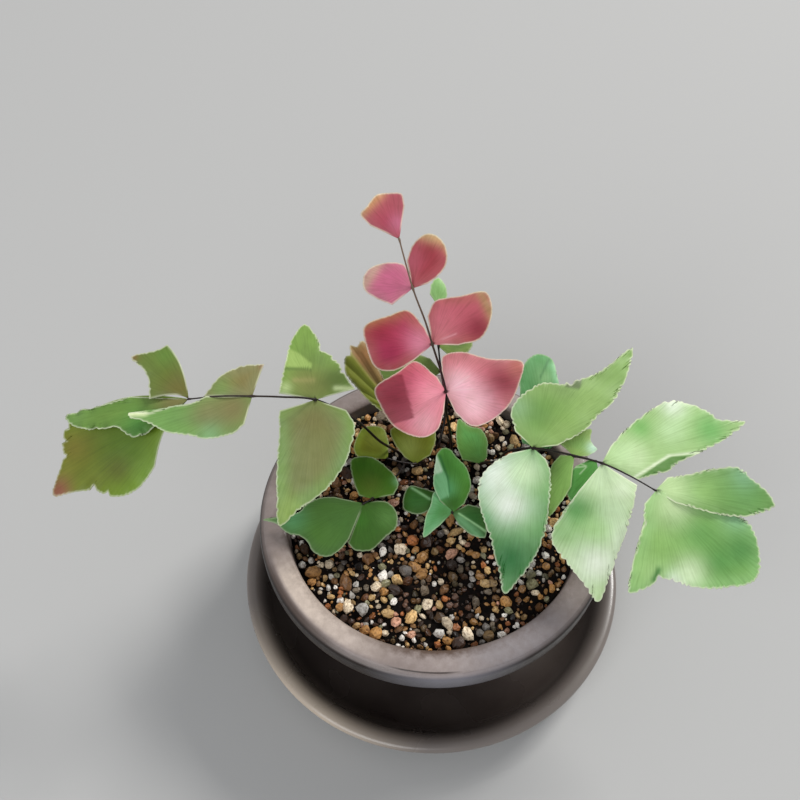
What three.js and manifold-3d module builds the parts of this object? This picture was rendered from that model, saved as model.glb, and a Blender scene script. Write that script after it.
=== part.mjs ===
// A potted maidenhair fern: a dish saucer, a thick-rimmed bowl pot, gritty soil and nine fronds.
// Lengths are in millimetres and angles in degrees, with +Z up. The origin is the middle of the
// saucer's underside. The fern is looked at from the -Y side, with +X to the right.
import * as THREE from "three";
import { mergeVertices } from "three/addons/utils/BufferGeometryUtils.js";
import Module from "manifold-3d";

const wasm = await Module();
wasm.setup();

// Saucer
const SAUCER_RADIUS = 61.3;
const SAUCER_HEIGHT = 14.2;
const SAUCER_FLOOR = 3;
const SAUCER_FOOT_RADIUS = 44;
const SAUCER_FLAT_RADIUS = 40;
const SAUCER_LIP_WIDTH = 5.6;
const SAUCER_LIP_DEPTH = 4;
const SAUCER_LEAN = 1.2;

// Pot
const POT_BAND_RADIUS = 52.5;
const POT_RIM_RADIUS = 50.6;
const POT_MOUTH_RADIUS = 44.2;
const POT_TOP = 50.8;
const POT_BAND_BOTTOM = 41.6;
const POT_BAND_ROUND = 2.8;
const POT_RIM_STEP = 1.3;
const POT_RIM_ROUND = 1.5;
const POT_BELLY_RADIUS = 39;
const POT_BELLY_Z = 24;
const POT_INNER_BELLY_RADIUS = 40;
const POT_INNER_BELLY_Z = 30;
const POT_MOUTH_LEAN = 0.4;
const POT_FOOT_RADIUS = 27.5;
const POT_FOOT_WIDTH = 3;
const POT_FOOT_HEIGHT = 2;
const POT_FLOOR_THICKNESS = 4;
const DRAIN_RADIUS = 5;

// Soil and its grit
const SOIL_EDGE_Z = 46.2;
const SOIL_MIDDLE_Z = 47;
const SOIL_GAP = 0.4;
const STONE_COUNT = 90;
const STONE_SMALL = 1.4;
const STONE_LARGE = 3;
const STONE_SHAPE = [1.15, 0.9, 0.75];
const STONE_TILT = 0.4;
const STONE_RISE = 0.5;
const STONE_SPREAD = 41;
const STONE_CLEARANCE = 1.2;

// Stalks and leaflets
const STALK_RADIUS = 0.7;
const RACHIS_RADIUS = 0.5;
const STALK_BOTTOM = 36.3;
const HOLE_CLEARANCE = 0.35;
const JOINT_GAP = 0.3;
const TIP_LENGTH = 0.8;
const BLADE_THICKNESS = 0.8;
const TOOTH_DEPTH = 0.35;
const RUFFLE = 0.5;
const RUFFLE_WAVES = 7;
const RING_SPACING = 18;

// Facets
const ROUND_SEGMENTS = 36;
const CURVE_STEPS = 2;
const TUBE_SIDES = 5;
const HOLE_SIDES = 8;
const STALK_STEP = 4;
const RACHIS_STEP = 3;

const POT_UNDERSIDE = SAUCER_FLOOR + POT_FOOT_HEIGHT;
const POT_FLOOR = POT_UNDERSIDE + POT_FLOOR_THICKNESS;

const SAUCER_GLAZE = new THREE.MeshStandardMaterial({ color: "#2b2523", roughness: 0.25, metalness: 0 });
const POT_GLAZE = new THREE.MeshStandardMaterial({ color: "#8f827d", roughness: 0.3, metalness: 0 });
const DARK_SOIL = new THREE.MeshStandardMaterial({ color: "#4b3828", roughness: 0.9, metalness: 0 });
const DARK_STALK = new THREE.MeshStandardMaterial({ color: "#231a15", roughness: 0.4, metalness: 0 });
const GREEN_LEAF = new THREE.MeshStandardMaterial({ color: "#86b16a", roughness: 0.5, metalness: 0 });
const BLUE_GREEN_LEAF = new THREE.MeshStandardMaterial({ color: "#4f8d57", roughness: 0.5, metalness: 0 });
const OLIVE_LEAF = new THREE.MeshStandardMaterial({ color: "#7f8443", roughness: 0.5, metalness: 0 });
const PINK_LEAF = new THREE.MeshStandardMaterial({ color: "#b5506a", roughness: 0.45, metalness: 0 });

// Each frond has a route from inside the soil to its last leaflet, the length of its bare stalk,
// and leaflets that sit on points of the route. A leaflet's aim is its heading from +X, pitch is how
// far its middle rises, roll lifts its left side, and droop is how far its far edge bends down.
// Its rim is a list of [degrees off the aim, distance from the foot].
const FRONDS = [
  {
    name: "left_frond",
    leaf: GREEN_LEAF,
    bare: 54,
    route: [[-10.5, 20.5, 49], [-16.5, 15.5, 64], [-23, 12.5, 79], [-33.5, 11.5, 90], [-42.5, 9.5, 94],
      [-50, 9, 95], [-58.5, 9, 95], [-67.5, 9.5, 93]],
    leaflets: [
      { at: 3, aim: -93, pitch: -30, roll: 1, droop: 4,
        rim: [[-73, 9], [-55, 12.5], [-33, 18.5], [-21, 27], [-14, 36], [-6, 30.5], [12, 24], [27, 19.5],
          [42, 16], [60, 13], [74, 9]] },
      { at: 3, aim: 93, pitch: 22, roll: -1, droop: 3,
        rim: [[-74, 10], [-60, 11.5], [-31, 12.5], [-11, 15.5], [1, 20.5], [7, 24.5], [16, 21.5], [29, 16.5],
          [54, 11.5], [73, 9.5]] },
      { at: 5, aim: 138, pitch: 17, roll: -18, droop: 1.5,
        rim: [[-63, 9.5], [-40, 9], [-18, 9.5], [9, 10.5], [31, 12], [40, 12.5]] },
      { at: 5, aim: -163, pitch: -9, roll: -18, droop: 4,
        rim: [[-17, 31.5], [-12, 33.5], [2, 26], [21, 18], [37, 13.5], [58, 8]] },
      { at: 7, aim: 141, pitch: 19, roll: -16, droop: 2,
        rim: [[-24, 17], [-14, 17], [-6, 18], [7, 20.5], [10, 15], [18, 12.5], [38, 10.5]] },
      { at: 7, aim: -169, pitch: -8, roll: -9, droop: 4,
        rim: [[-19, 16], [-13, 26], [-10, 36.5], [-3, 34], [5, 26], [16, 19.5], [28, 14.5]] },
      { at: 7, aim: -155, pitch: -24, roll: -22, droop: 3,
        rim: [[-30, 26], [-24, 36], [-17, 39.5], [-7, 43.5], [0, 48.5], [10, 38], [21, 33], [29, 24]] },
    ],
  },
  {
    name: "pink_frond",
    leaf: PINK_LEAF,
    bare: 36,
    route: [[6, 22.5, 49], [5, 23, 59], [3.5, 22.5, 70], [3, 22.5, 79], [1.5, 22, 88], [-1.5, 22, 101],
      [-3.5, 23, 109], [-7, 25, 120], [-10.5, 30.5, 132]],
    leaflets: [
      { at: 3, aim: -166, pitch: 3, roll: -32, droop: 2.5,
        rim: [[-71, 5], [-56, 12.5], [-33, 15], [-13, 20.5], [1, 19.5], [24, 18], [52, 15], [67, 11.5],
          [74, 6]] },
      { at: 3, aim: 6, pitch: 13, roll: 30, droop: 2.5,
        rim: [[-78, 6.5], [-65, 12.5], [-49, 15], [-25, 18.5], [-4, 21.5], [10, 24], [26, 16], [59, 12.5],
          [83, 10.5], [89, 6]] },
      { at: 5, aim: 38, pitch: 29, roll: 20, droop: 2,
        rim: [[-48, 7], [-39, 13], [-25, 16.5], [-11, 19.5], [0, 20.5], [14, 15.5], [41, 12], [54, 8]] },
      { at: 5, aim: 177, pitch: 12, roll: -33, droop: 2,
        rim: [[-57, 5], [-45, 11.5], [-26, 14], [-6, 19], [11, 18], [32, 16.5], [44, 12.5], [50, 6.5]] },
      { at: 7, aim: 61, pitch: 35, roll: 5, droop: 1.5,
        rim: [[-50, 4], [-42, 7], [-31, 10.5], [-15, 13.5], [0, 15], [12, 14.5], [25, 11.5], [37, 7.5]] },
      { at: 7, aim: 174, pitch: 17, roll: -31, droop: 1.5,
        rim: [[-68, 3], [-56, 6.5], [-34, 9], [-12, 12], [3, 13], [17, 12.5], [30, 10], [54, 7]] },
      { at: 8, aim: 126, pitch: 37, roll: -16, droop: 1.2,
        rim: [[-38, 8.5], [-32, 11.5], [-18, 12], [-1, 12.5], [17, 11.5], [29, 11.5], [37, 8]] },
    ],
  },
  {
    name: "right_frond",
    leaf: GREEN_LEAF,
    bare: 36,
    route: [[18, 11.5, 49], [18.5, 10.5, 58], [21, 9.5, 67], [27.5, 5.5, 75], [34, 1.5, 79], [44.5, -4, 82],
      [51, -8.5, 83], [58, -12, 81]],
    leaflets: [
      { at: 3, aim: 49, pitch: 17, roll: 14, droop: 4,
        rim: [[-44, 7], [-33, 15], [-24, 22], [-19, 30], [-6, 44], [-2, 31], [12, 22], [31, 19.5], [50, 16],
          [68, 12.5], [85, 7]] },
      { at: 3, aim: -108, pitch: -26, roll: -4, droop: 4,
        rim: [[-63, 7], [-55, 12.5], [-44, 18], [-29, 22], [-12, 27.5], [-2, 34.5], [4, 41.5], [9, 37],
          [16, 30.5], [24, 23], [33, 15], [50, 9], [64, 4.5]] },
      { at: 5, aim: 21, pitch: 6, roll: 21, droop: 4,
        rim: [[-44, 10.5], [-19, 19], [-13, 29.5], [-9, 38], [-5, 44.5], [-1, 38], [8, 33.5], [20, 27.5],
          [26, 19.5], [32, 12], [39, 5.5]] },
      { at: 5, aim: -100, pitch: -30, roll: 3, droop: 4,
        rim: [[-32, 10], [-29, 22], [-23, 26], [-11, 29], [-2, 32.5], [6, 37.5], [12, 30], [21, 22.5],
          [34, 17], [66, 11]] },
      { at: 7, aim: 0, pitch: 0, roll: 18, droop: 3,
        rim: [[-34, 6], [-25, 12.5], [-18, 22.5], [-12, 28.5], [-6, 33], [7, 28], [16, 24.5], [21, 18],
          [26, 11], [46, 5]] },
      { at: 7, aim: -62, pitch: -25, roll: 13, droop: 4,
        rim: [[-70, 5], [-50, 11], [-46, 18], [-42, 28], [-32, 26], [-22, 23.5], [-6, 27], [12, 32.5],
          [25, 36], [34, 33], [46, 27], [49, 22]] },
    ],
  },
  {
    name: "back_frond",
    leaf: GREEN_LEAF,
    bare: 30,
    route: [[2, 24, 49], [3.5, 28.5, 54], [4, 33, 60], [2.5, 38.5, 68], [1.5, 43, 75], [1, 52, 84]],
    leaflets: [
      { at: 3, aim: 180, pitch: 4, roll: -25, droop: 1.2,
        rim: [[-50, 5.5], [-30, 13], [-13, 18], [0, 21], [11, 20.5], [22, 16.5], [36, 8]] },
      { at: 4, aim: 16, pitch: 12, roll: 22, droop: 1.2,
        rim: [[-63, 5], [-32, 9], [-16, 10.5], [8, 10.5], [38, 9.5], [65, 5.5]] },
      { at: 5, aim: 83, pitch: 25, roll: 3, droop: 1,
        rim: [[-60, 3], [-38, 4.5], [-11, 7.5], [4, 9], [21, 7], [40, 4]] },
    ],
  },
  {
    name: "folded_frond",
    leaf: OLIVE_LEAF,
    bare: 28,
    route: [[-4, 31, 49], [-7, 29, 58], [-12, 23, 69]],
    leaflets: [
      { at: 2, aim: 134, pitch: 39, roll: -9, droop: 1,
        rim: [[-34, 4.5], [-16, 10], [-11, 18], [-9, 22], [-4, 23], [4, 22.5], [13, 20.5], [17, 14],
          [23, 8]] },
    ],
  },
  {
    name: "olive_frond",
    leaf: OLIVE_LEAF,
    bare: 13,
    route: [[-3, 17.5, 49], [-5.5, 15, 52], [-10.5, 14.5, 54], [-14, 15, 55]],
    leaflets: [
      { at: 1, aim: 95, pitch: 14, roll: -1, droop: 1,
        rim: [[-63, 5.5], [-43, 10.5], [-28, 14], [-4, 13.5], [15, 14], [29, 14], [39, 9.5], [53, 4]] },
      { at: 3, aim: 132, pitch: 7, roll: -7, droop: 1,
        rim: [[-44, 5.5], [-35, 10], [-23, 12], [-8, 13.5], [9, 12.5], [32, 11], [45, 9], [50, 4]] },
    ],
  },
  {
    name: "low_left_frond",
    leaf: BLUE_GREEN_LEAF,
    bare: 30,
    route: [[-8, 18, 49], [-11, 10.5, 53], [-15.5, 3, 57], [-18.5, -1, 58], [-21, -2, 57]],
    leaflets: [
      { at: 3, aim: 86, pitch: 16, roll: 1, droop: 1.2,
        rim: [[-75, 6.5], [-56, 9], [-26, 10.5], [5, 13], [31, 14], [49, 8], [80, 4]] },
      { at: 4, aim: -154, pitch: -5, roll: -11, droop: 2,
        rim: [[-40, 9], [-29, 16], [-18, 30], [-13, 24], [-5, 24.5], [12, 21.5], [26, 19.5], [34, 16.5],
          [42, 12.5]] },
      { at: 4, aim: -61, pitch: -11, roll: 6, droop: 1,
        rim: [[-49, 12.5], [-38, 14], [-20, 14], [3, 12], [25, 12], [47, 10], [66, 7], [75, 4]] },
    ],
  },
  {
    name: "middle_frond",
    leaf: BLUE_GREEN_LEAF,
    bare: 24,
    route: [[2.5, 16.5, 49], [3, 8, 52], [4, 0.5, 55], [5, -4.5, 56]],
    leaflets: [
      { at: 2, aim: 174, pitch: -4, roll: -15, droop: 1,
        rim: [[-34, 4], [-24, 8], [-18, 12.5], [-4, 13.5], [15, 13.5], [30, 9.5], [34, 4]] },
      { at: 3, aim: 89, pitch: 25, roll: 0, droop: 1.5,
        rim: [[-48, 4], [-40, 8], [-27, 11.5], [-11, 15], [0, 18.5], [9, 19], [19, 18], [23, 11]] },
      { at: 3, aim: 179, pitch: -7, roll: -13, droop: 1.5,
        rim: [[-76, 7], [-53, 8.5], [-25, 7], [5, 8], [20, 9], [37, 11], [43, 5]] },
      { at: 3, aim: -20, pitch: -8, roll: 13, droop: 1,
        rim: [[-38, 4], [-26, 8.5], [-14, 12], [-1, 11], [28, 9.5], [51, 5.5]] },
    ],
  },
  {
    name: "low_right_frond",
    leaf: BLUE_GREEN_LEAF,
    bare: 11.5,
    route: [[15, 16, 48.5], [15, 16, 50.5], [20, 13.5, 56], [27, 12.5, 61], [33.5, 11.5, 65], [40.5, 8, 67],
      [47, 7, 66]],
    leaflets: [
      { at: 1, aim: 111, pitch: 11, roll: -4, droop: 1,
        rim: [[-60, 3], [-37, 8], [-22, 12], [-7, 13.5], [2, 17], [12, 14], [31, 9.5], [57, 6]] },
      { at: 4, aim: 96, pitch: 18, roll: -2, droop: 2,
        rim: [[-59, 5.5], [-42, 9.5], [-23, 16.5], [-15, 24.5], [-9, 30.5], [1, 29], [11, 25], [22, 18],
          [44, 12], [75, 8]] },
      { at: 5, aim: 58, pitch: 13, roll: 8, droop: 1,
        rim: [[-57, 3.5], [-41, 7], [-24, 9], [-3, 10.5], [14, 8], [50, 6], [76, 5.5]] },
      { at: 5, aim: -125, pitch: -18, roll: -8, droop: 1,
        rim: [[-64, 4], [-37, 7], [-11, 11.5], [4, 15.5], [15, 13], [25, 9]] },
      { at: 6, aim: -133, pitch: -17, roll: -11, droop: 1,
        rim: [[-61, 2], [-33, 7], [-12, 11.5], [8, 14], [22, 9], [51, 3.5]] },
    ],
  },
];

const radians = (degrees) => THREE.MathUtils.degToRad(degrees);

// A solid is a closed mesh whose corners are shared, ready to be joined to others or cut by them.
function toSolid(geometry) {
  const bare = geometry.clone();
  bare.deleteAttribute("normal");
  bare.deleteAttribute("uv");
  const merged = mergeVertices(bare, 1e-4);
  return new wasm.Manifold(new wasm.Mesh({
    numProp: 3,
    vertProperties: Float32Array.from(merged.attributes.position.array),
    triVerts: Uint32Array.from(merged.index.array),
  }));
}

function toGeometry(solid) {
  const mesh = solid.getMesh();
  const geometry = new THREE.BufferGeometry();
  geometry.setAttribute("position", new THREE.BufferAttribute(Float32Array.from(mesh.vertProperties), 3));
  geometry.setIndex(new THREE.BufferAttribute(Uint32Array.from(mesh.triVerts), 1));
  geometry.computeVertexNormals();
  return geometry;
}

function named(name, geometry, material) {
  const mesh = new THREE.Mesh(geometry, material);
  mesh.name = name;
  return mesh;
}

// A round piece turned about Z from a section drawn as radius across and height up.
function turned(section) {
  const geometry = new THREE.LatheGeometry(section.getPoints(CURVE_STEPS), ROUND_SEGMENTS);
  geometry.rotateX(Math.PI / 2);
  return geometry;
}

// The saucer is a shallow dish with a thick round lip and a flat foot.
function saucer() {
  const lipInside = SAUCER_RADIUS - SAUCER_LIP_WIDTH;
  const lipMiddle = SAUCER_RADIUS - SAUCER_LIP_WIDTH / 2;
  const lipBottom = SAUCER_HEIGHT - SAUCER_LIP_DEPTH;
  const section = new THREE.Path()
    .moveTo(0, 0)
    .lineTo(SAUCER_FOOT_RADIUS, 0)
    .quadraticCurveTo(lipInside, SAUCER_FLOOR / 2, SAUCER_RADIUS - SAUCER_LEAN, lipBottom)
    .quadraticCurveTo(SAUCER_RADIUS + SAUCER_LEAN, SAUCER_HEIGHT, lipMiddle, SAUCER_HEIGHT)
    .quadraticCurveTo(lipInside, SAUCER_HEIGHT, lipInside - SAUCER_LEAN / 2, lipBottom)
    .quadraticCurveTo(lipInside - SAUCER_LIP_DEPTH, SAUCER_FLOOR, SAUCER_FLAT_RADIUS, SAUCER_FLOOR)
    .lineTo(0, SAUCER_FLOOR);
  return turned(section);
}

// The pot tapers from a thick rolled band to a small foot ring, and its floor has a drain hole.
function pot() {
  const footInside = POT_FOOT_RADIUS - POT_FOOT_WIDTH;
  const bandTop = POT_TOP - POT_RIM_STEP - POT_RIM_ROUND;
  const section = new THREE.Path()
    .moveTo(DRAIN_RADIUS, POT_UNDERSIDE)
    .lineTo(footInside, POT_UNDERSIDE)
    .lineTo(footInside, SAUCER_FLOOR)
    .lineTo(POT_FOOT_RADIUS, SAUCER_FLOOR)
    .lineTo(POT_FOOT_RADIUS, POT_UNDERSIDE)
    .quadraticCurveTo(POT_BELLY_RADIUS, POT_BELLY_Z, POT_RIM_RADIUS - POT_RIM_ROUND, POT_BAND_BOTTOM)
    .quadraticCurveTo(POT_BAND_RADIUS, POT_BAND_BOTTOM, POT_BAND_RADIUS, POT_BAND_BOTTOM + POT_BAND_ROUND)
    .lineTo(POT_BAND_RADIUS, bandTop)
    .quadraticCurveTo(POT_BAND_RADIUS, POT_TOP - POT_RIM_STEP, POT_RIM_RADIUS, POT_TOP - POT_RIM_STEP)
    .quadraticCurveTo(POT_RIM_RADIUS, POT_TOP, POT_RIM_RADIUS - POT_RIM_ROUND, POT_TOP)
    .lineTo(POT_MOUTH_RADIUS + POT_RIM_ROUND, POT_TOP)
    .quadraticCurveTo(POT_MOUTH_RADIUS, POT_TOP, POT_MOUTH_RADIUS, POT_TOP - POT_RIM_ROUND);
  addInnerWall(section, 0);
  section
    .lineTo(DRAIN_RADIUS, POT_FLOOR)
    .lineTo(DRAIN_RADIUS, POT_UNDERSIDE);
  return turned(section);
}

// The inner wall runs down from below the mouth to the floor. The soil follows it a small gap inside.
function addInnerWall(section, gap) {
  const footInside = POT_FOOT_RADIUS - POT_FOOT_WIDTH;
  section
    .lineTo(POT_MOUTH_RADIUS - POT_MOUTH_LEAN - gap, SOIL_EDGE_Z)
    .quadraticCurveTo(POT_INNER_BELLY_RADIUS - gap, POT_INNER_BELLY_Z, footInside - gap, POT_FLOOR);
}

// Random numbers that are the same on every run, between 0 and 1.
function randomStream(seed) {
  let state = seed;
  return () => {
    state = (state * 1664525 + 1013904223) % 4294967296;
    return state / 4294967296;
  };
}

// Stones lie on a spiral of even spacing, half sunk in the soil, clear of the stalks and the pot.
function stones() {
  const random = randomStream(7);
  const goldenAngle = Math.PI * (3 - Math.sqrt(5));
  const solids = [];
  for (let i = 0; i < STONE_COUNT; i += 1) {
    const radius = STONE_SMALL + (STONE_LARGE - STONE_SMALL) * random() ** 2;
    const halfLength = radius * Math.max(...STONE_SHAPE);
    const reach = POT_MOUTH_RADIUS - POT_MOUTH_LEAN - SOIL_GAP - halfLength;
    const distance = Math.min(reach, STONE_SPREAD * Math.sqrt((i + random()) / STONE_COUNT));
    const heading = i * goldenAngle;
    const x = distance * Math.cos(heading);
    const y = distance * Math.sin(heading);
    const geometry = new THREE.OctahedronGeometry(radius, 0);
    geometry.scale(...STONE_SHAPE);
    geometry.rotateX((2 * random() - 1) * STONE_TILT);
    geometry.rotateZ(random() * Math.PI);
    geometry.translate(x, y, SOIL_EDGE_Z + STONE_RISE);
    const room = halfLength + STONE_CLEARANCE;
    const clear = FRONDS.every(({ route: [[stalkX, stalkY]] }) => Math.hypot(x - stalkX, y - stalkY) > room);
    if (clear) {
      solids.push(toSolid(geometry));
    }
  }
  return solids;
}

// The soil fills the pot to just below its mouth. Each stalk stands in a plain round hole.
function soil() {
  const section = new THREE.Path().moveTo(0, SOIL_MIDDLE_Z);
  addInnerWall(section, SOIL_GAP);
  section.lineTo(0, POT_FLOOR);
  const points = section.getPoints(CURVE_STEPS).reverse();
  const geometry = new THREE.LatheGeometry(points, ROUND_SEGMENTS);
  geometry.rotateX(Math.PI / 2);
  const filled = wasm.Manifold.union([toSolid(geometry), ...stones()]);
  const holeRadius = STALK_RADIUS + HOLE_CLEARANCE;
  const holeBottom = STALK_BOTTOM - JOINT_GAP;
  const holeTop = SOIL_MIDDLE_Z + STONE_LARGE;
  const holes = FRONDS.map(({ route: [[x, y]] }) => {
    const hole = new THREE.CylinderGeometry(holeRadius, holeRadius, holeTop - holeBottom, HOLE_SIDES);
    hole.rotateX(Math.PI / 2);
    hole.translate(x, y, (holeTop + holeBottom) / 2);
    return toSolid(hole);
  });
  return toGeometry(filled.subtract(wasm.Manifold.union(holes)));
}

// The frond's whole route, with a straight start down in its hole and a short tip past the last foot.
function routeCurve({ route }) {
  const points = route.map(([x, y, z]) => new THREE.Vector3(x, y, z));
  const start = points[0].clone().setZ(STALK_BOTTOM);
  const collar = points[0].clone().setZ(SOIL_EDGE_Z);
  const [before, last] = points.slice(-2);
  const tip = last.clone().sub(before).setLength(TIP_LENGTH).add(last);
  return new THREE.CatmullRomCurve3([start, collar, ...points, tip], false, "centripetal");
}

// A round tube along the stretch of a curve between two lengths.
function tube(curve, from, to, radius, step) {
  const whole = curve.getLength();
  const steps = Math.ceil((to - from) / step);
  const pointCount = 4 * steps + 1;
  const points = Array.from({ length: pointCount }, (_, i) => {
    const length = from + ((to - from) * i) / (pointCount - 1);
    return curve.getPointAt(Math.min(1, length / whole));
  });
  const corners = Array.from({ length: TUBE_SIDES }, (_, i) => {
    const turn = (2 * Math.PI * i) / TUBE_SIDES;
    return new THREE.Vector2(radius * Math.cos(turn), radius * Math.sin(turn));
  });
  return new THREE.ExtrudeGeometry(new THREE.Shape(corners), {
    steps,
    bevelEnabled: false,
    extrudePath: new THREE.CatmullRomCurve3(points, false, "centripetal"),
  });
}

// The rim's points with one more between each two, set in a little, which makes its blunt teeth.
function rimRays(rim) {
  const rays = [];
  rim.forEach(([angle, radius], i) => {
    rays.push([radians(angle), radius]);
    const next = rim[i + 1];
    if (next) {
      rays.push([radians((angle + next[0]) / 2), (radius + next[1]) / 2 - TOOTH_DEPTH]);
    }
  });
  return rays;
}

// The directions of a leaflet: along its middle, to its left, and out of its upper face.
function leafletFrame({ aim, pitch, roll }) {
  const heading = radians(aim);
  const rise = radians(pitch);
  const along = new THREE.Vector3(Math.cos(heading) * Math.cos(rise), Math.sin(heading) * Math.cos(rise),
    Math.sin(rise));
  const level = new THREE.Vector3(-Math.sin(heading), Math.cos(heading), 0);
  const left = level.clone().applyAxisAngle(along, radians(roll));
  const up = new THREE.Vector3().crossVectors(along, left);
  return { along, left, up };
}

// A leaflet is a thin fan with its point in the rachis. Both faces have the same triangles, so its
// thickness is the same all over where it bends.
function leaflet(foot, shape) {
  const { along, left, up } = leafletFrame(shape);
  const rays = rimRays(shape.rim);
  const reach = Math.max(...shape.rim.map(([, radius]) => radius));
  const rings = Math.ceil(reach / RING_SPACING);
  const positions = [];
  const place = (angle, radius, share, side) => {
    const bend = -shape.droop * (radius / reach) ** 2;
    const ruffle = RUFFLE * share ** 3 * Math.sin(RUFFLE_WAVES * angle);
    const height = bend + ruffle + (side * BLADE_THICKNESS) / 2;
    const point = foot.clone()
      .addScaledVector(along, radius * Math.cos(angle))
      .addScaledVector(left, radius * Math.sin(angle))
      .addScaledVector(up, height);
    positions.push(point.x, point.y, point.z);
  };
  [1, -1].forEach((side) => {
    place(0, 0, 0, side);
    for (let ring = 1; ring <= rings; ring += 1) {
      rays.forEach(([angle, radius]) => place(angle, (radius * ring) / rings, ring / rings, side));
    }
  });
  const geometry = new THREE.BufferGeometry();
  geometry.setAttribute("position", new THREE.BufferAttribute(new Float32Array(positions), 3));
  geometry.setIndex(fanTriangles(rays.length, rings));
  return geometry;
}

// Triangles of a fan: its upper face, the same ones turned over below, and the walls between them.
function fanTriangles(rayCount, rings) {
  const faceSize = 1 + rings * rayCount;
  const at = (ring, ray) => (ring === 0 ? 0 : 1 + (ring - 1) * rayCount + ray);
  const triangles = [];
  const wall = (a, b) => {
    triangles.push(a, a + faceSize, b + faceSize, a, b + faceSize, b);
  };
  for (let ray = 0; ray + 1 < rayCount; ray += 1) {
    for (let ring = 0; ring < rings; ring += 1) {
      const corners = [at(ring, ray), at(ring + 1, ray), at(ring + 1, ray + 1), at(ring, ray + 1)];
      const [a, b, c, d] = corners;
      const upper = ring === 0 ? [[a, b, c]] : [[a, b, c], [a, c, d]];
      upper.forEach(([p, q, r]) => {
        triangles.push(p, q, r, p + faceSize, r + faceSize, q + faceSize);
      });
    }
    wall(at(rings, ray), at(rings, ray + 1));
  }
  for (let ring = 0; ring < rings; ring += 1) {
    wall(at(ring, 0), at(ring + 1, 0));
    wall(at(ring + 1, rayCount - 1), at(ring, rayCount - 1));
  }
  return triangles;
}

// A frond is its bare dark stalk, and its rachis with the leaflets that grow from it as one piece.
function frond(design) {
  const curve = routeCurve(design);
  const stalk = tube(curve, 0, design.bare, STALK_RADIUS, STALK_STEP);
  const rachis = tube(curve, design.bare + JOINT_GAP, curve.getLength(), RACHIS_RADIUS, RACHIS_STEP);
  const leaflets = design.leaflets.map((shape) => {
    const foot = new THREE.Vector3(...design.route[shape.at]);
    return toSolid(leaflet(foot, shape));
  });
  const leafy = wasm.Manifold.union([toSolid(rachis), ...leaflets]);
  return [
    named(`${design.name}_stalk`, stalk, DARK_STALK),
    named(`${design.name}_leaflets`, toGeometry(leafy), design.leaf),
  ];
}

const fern = new THREE.Group();
fern.name = "potted_maidenhair_fern";
fern.add(
  named("saucer", saucer(), SAUCER_GLAZE),
  named("pot", pot(), POT_GLAZE),
  named("soil", soil(), DARK_SOIL),
  ...FRONDS.flatMap(frond),
);

export default fern;
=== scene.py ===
# %% [markdown]
# # A potted maidenhair fern
# A young maidenhair fern stands in a glazed bowl, on a dark dish. The solid model already fixes every
# size and place: the dish, the bowl, the soil and nine fronds. Here each of them gets its real surface.
# Sizes are written in millimetres, in the model's own frame, and turned into metres for Blender.

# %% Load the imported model
import math

import bpy
import numpy as np
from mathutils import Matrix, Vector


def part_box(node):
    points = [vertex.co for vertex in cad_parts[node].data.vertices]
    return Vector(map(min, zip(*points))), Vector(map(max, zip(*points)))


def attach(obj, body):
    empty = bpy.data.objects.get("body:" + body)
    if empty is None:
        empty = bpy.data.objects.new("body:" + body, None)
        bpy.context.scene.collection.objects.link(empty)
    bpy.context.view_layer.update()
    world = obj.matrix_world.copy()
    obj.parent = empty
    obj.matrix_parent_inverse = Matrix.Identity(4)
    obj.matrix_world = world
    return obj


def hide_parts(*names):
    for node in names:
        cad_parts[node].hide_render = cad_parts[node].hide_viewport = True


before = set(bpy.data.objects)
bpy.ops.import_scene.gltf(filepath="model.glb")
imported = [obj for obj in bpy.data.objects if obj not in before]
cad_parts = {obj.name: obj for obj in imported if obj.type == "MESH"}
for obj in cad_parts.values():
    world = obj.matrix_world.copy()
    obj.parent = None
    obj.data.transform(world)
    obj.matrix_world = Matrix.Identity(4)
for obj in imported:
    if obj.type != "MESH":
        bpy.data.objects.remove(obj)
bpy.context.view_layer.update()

MM = 0.001
saucer_high = np.array(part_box("saucer")[1]) / MM
pot_high = np.array(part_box("pot")[1]) / MM

# %% [markdown]
# ## Camera and light
# The picture looks down on the plant from the front, half way to a bird's view. The light is a plain
# studio's: one broad soft lamp stands behind the plant on the right, where a window would be, and a
# larger and weaker one fills the shadows from the front left. A pale sky gives the rest. The lamps'
# places and sizes are in metres.

# %% Camera
CAMERA_PLACE = (-10.3, -143.6, 299.5)
CAMERA_DOWN = 53.5
CAMERA_LENS = 42.75
SENSOR_WIDTH = 36

camera_data = bpy.data.cameras.new("camera")
camera_data.lens = CAMERA_LENS
camera_data.sensor_width = SENSOR_WIDTH
camera_data.clip_start = 0.01
camera = bpy.data.objects.new("camera", camera_data)
camera.location = [place * MM for place in CAMERA_PLACE]
camera.rotation_euler = (math.radians(90 - CAMERA_DOWN), 0, 0)
bpy.context.scene.collection.objects.link(camera)
bpy.context.scene.camera = camera
print("camera at", CAMERA_PLACE, "mm, looking", CAMERA_DOWN, "degrees down")

# %% Lamps and sky
def soft_lamp(name, place, target, size, power, colour):
    """A square lamp of the given size in metres, turned from its place towards a target."""
    data = bpy.data.lights.new(name, "AREA")
    data.shape = "SQUARE"
    data.size = size
    data.energy = power
    data.color = colour
    lamp = bpy.data.objects.new(name, data)
    lamp.location = place
    direction = np.array(target) - np.array(place)
    flat = math.hypot(direction[0], direction[1])
    lamp.rotation_euler = (math.atan2(flat, -direction[2]), 0, math.atan2(-direction[0], direction[1]))
    bpy.context.scene.collection.objects.link(lamp)


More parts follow.
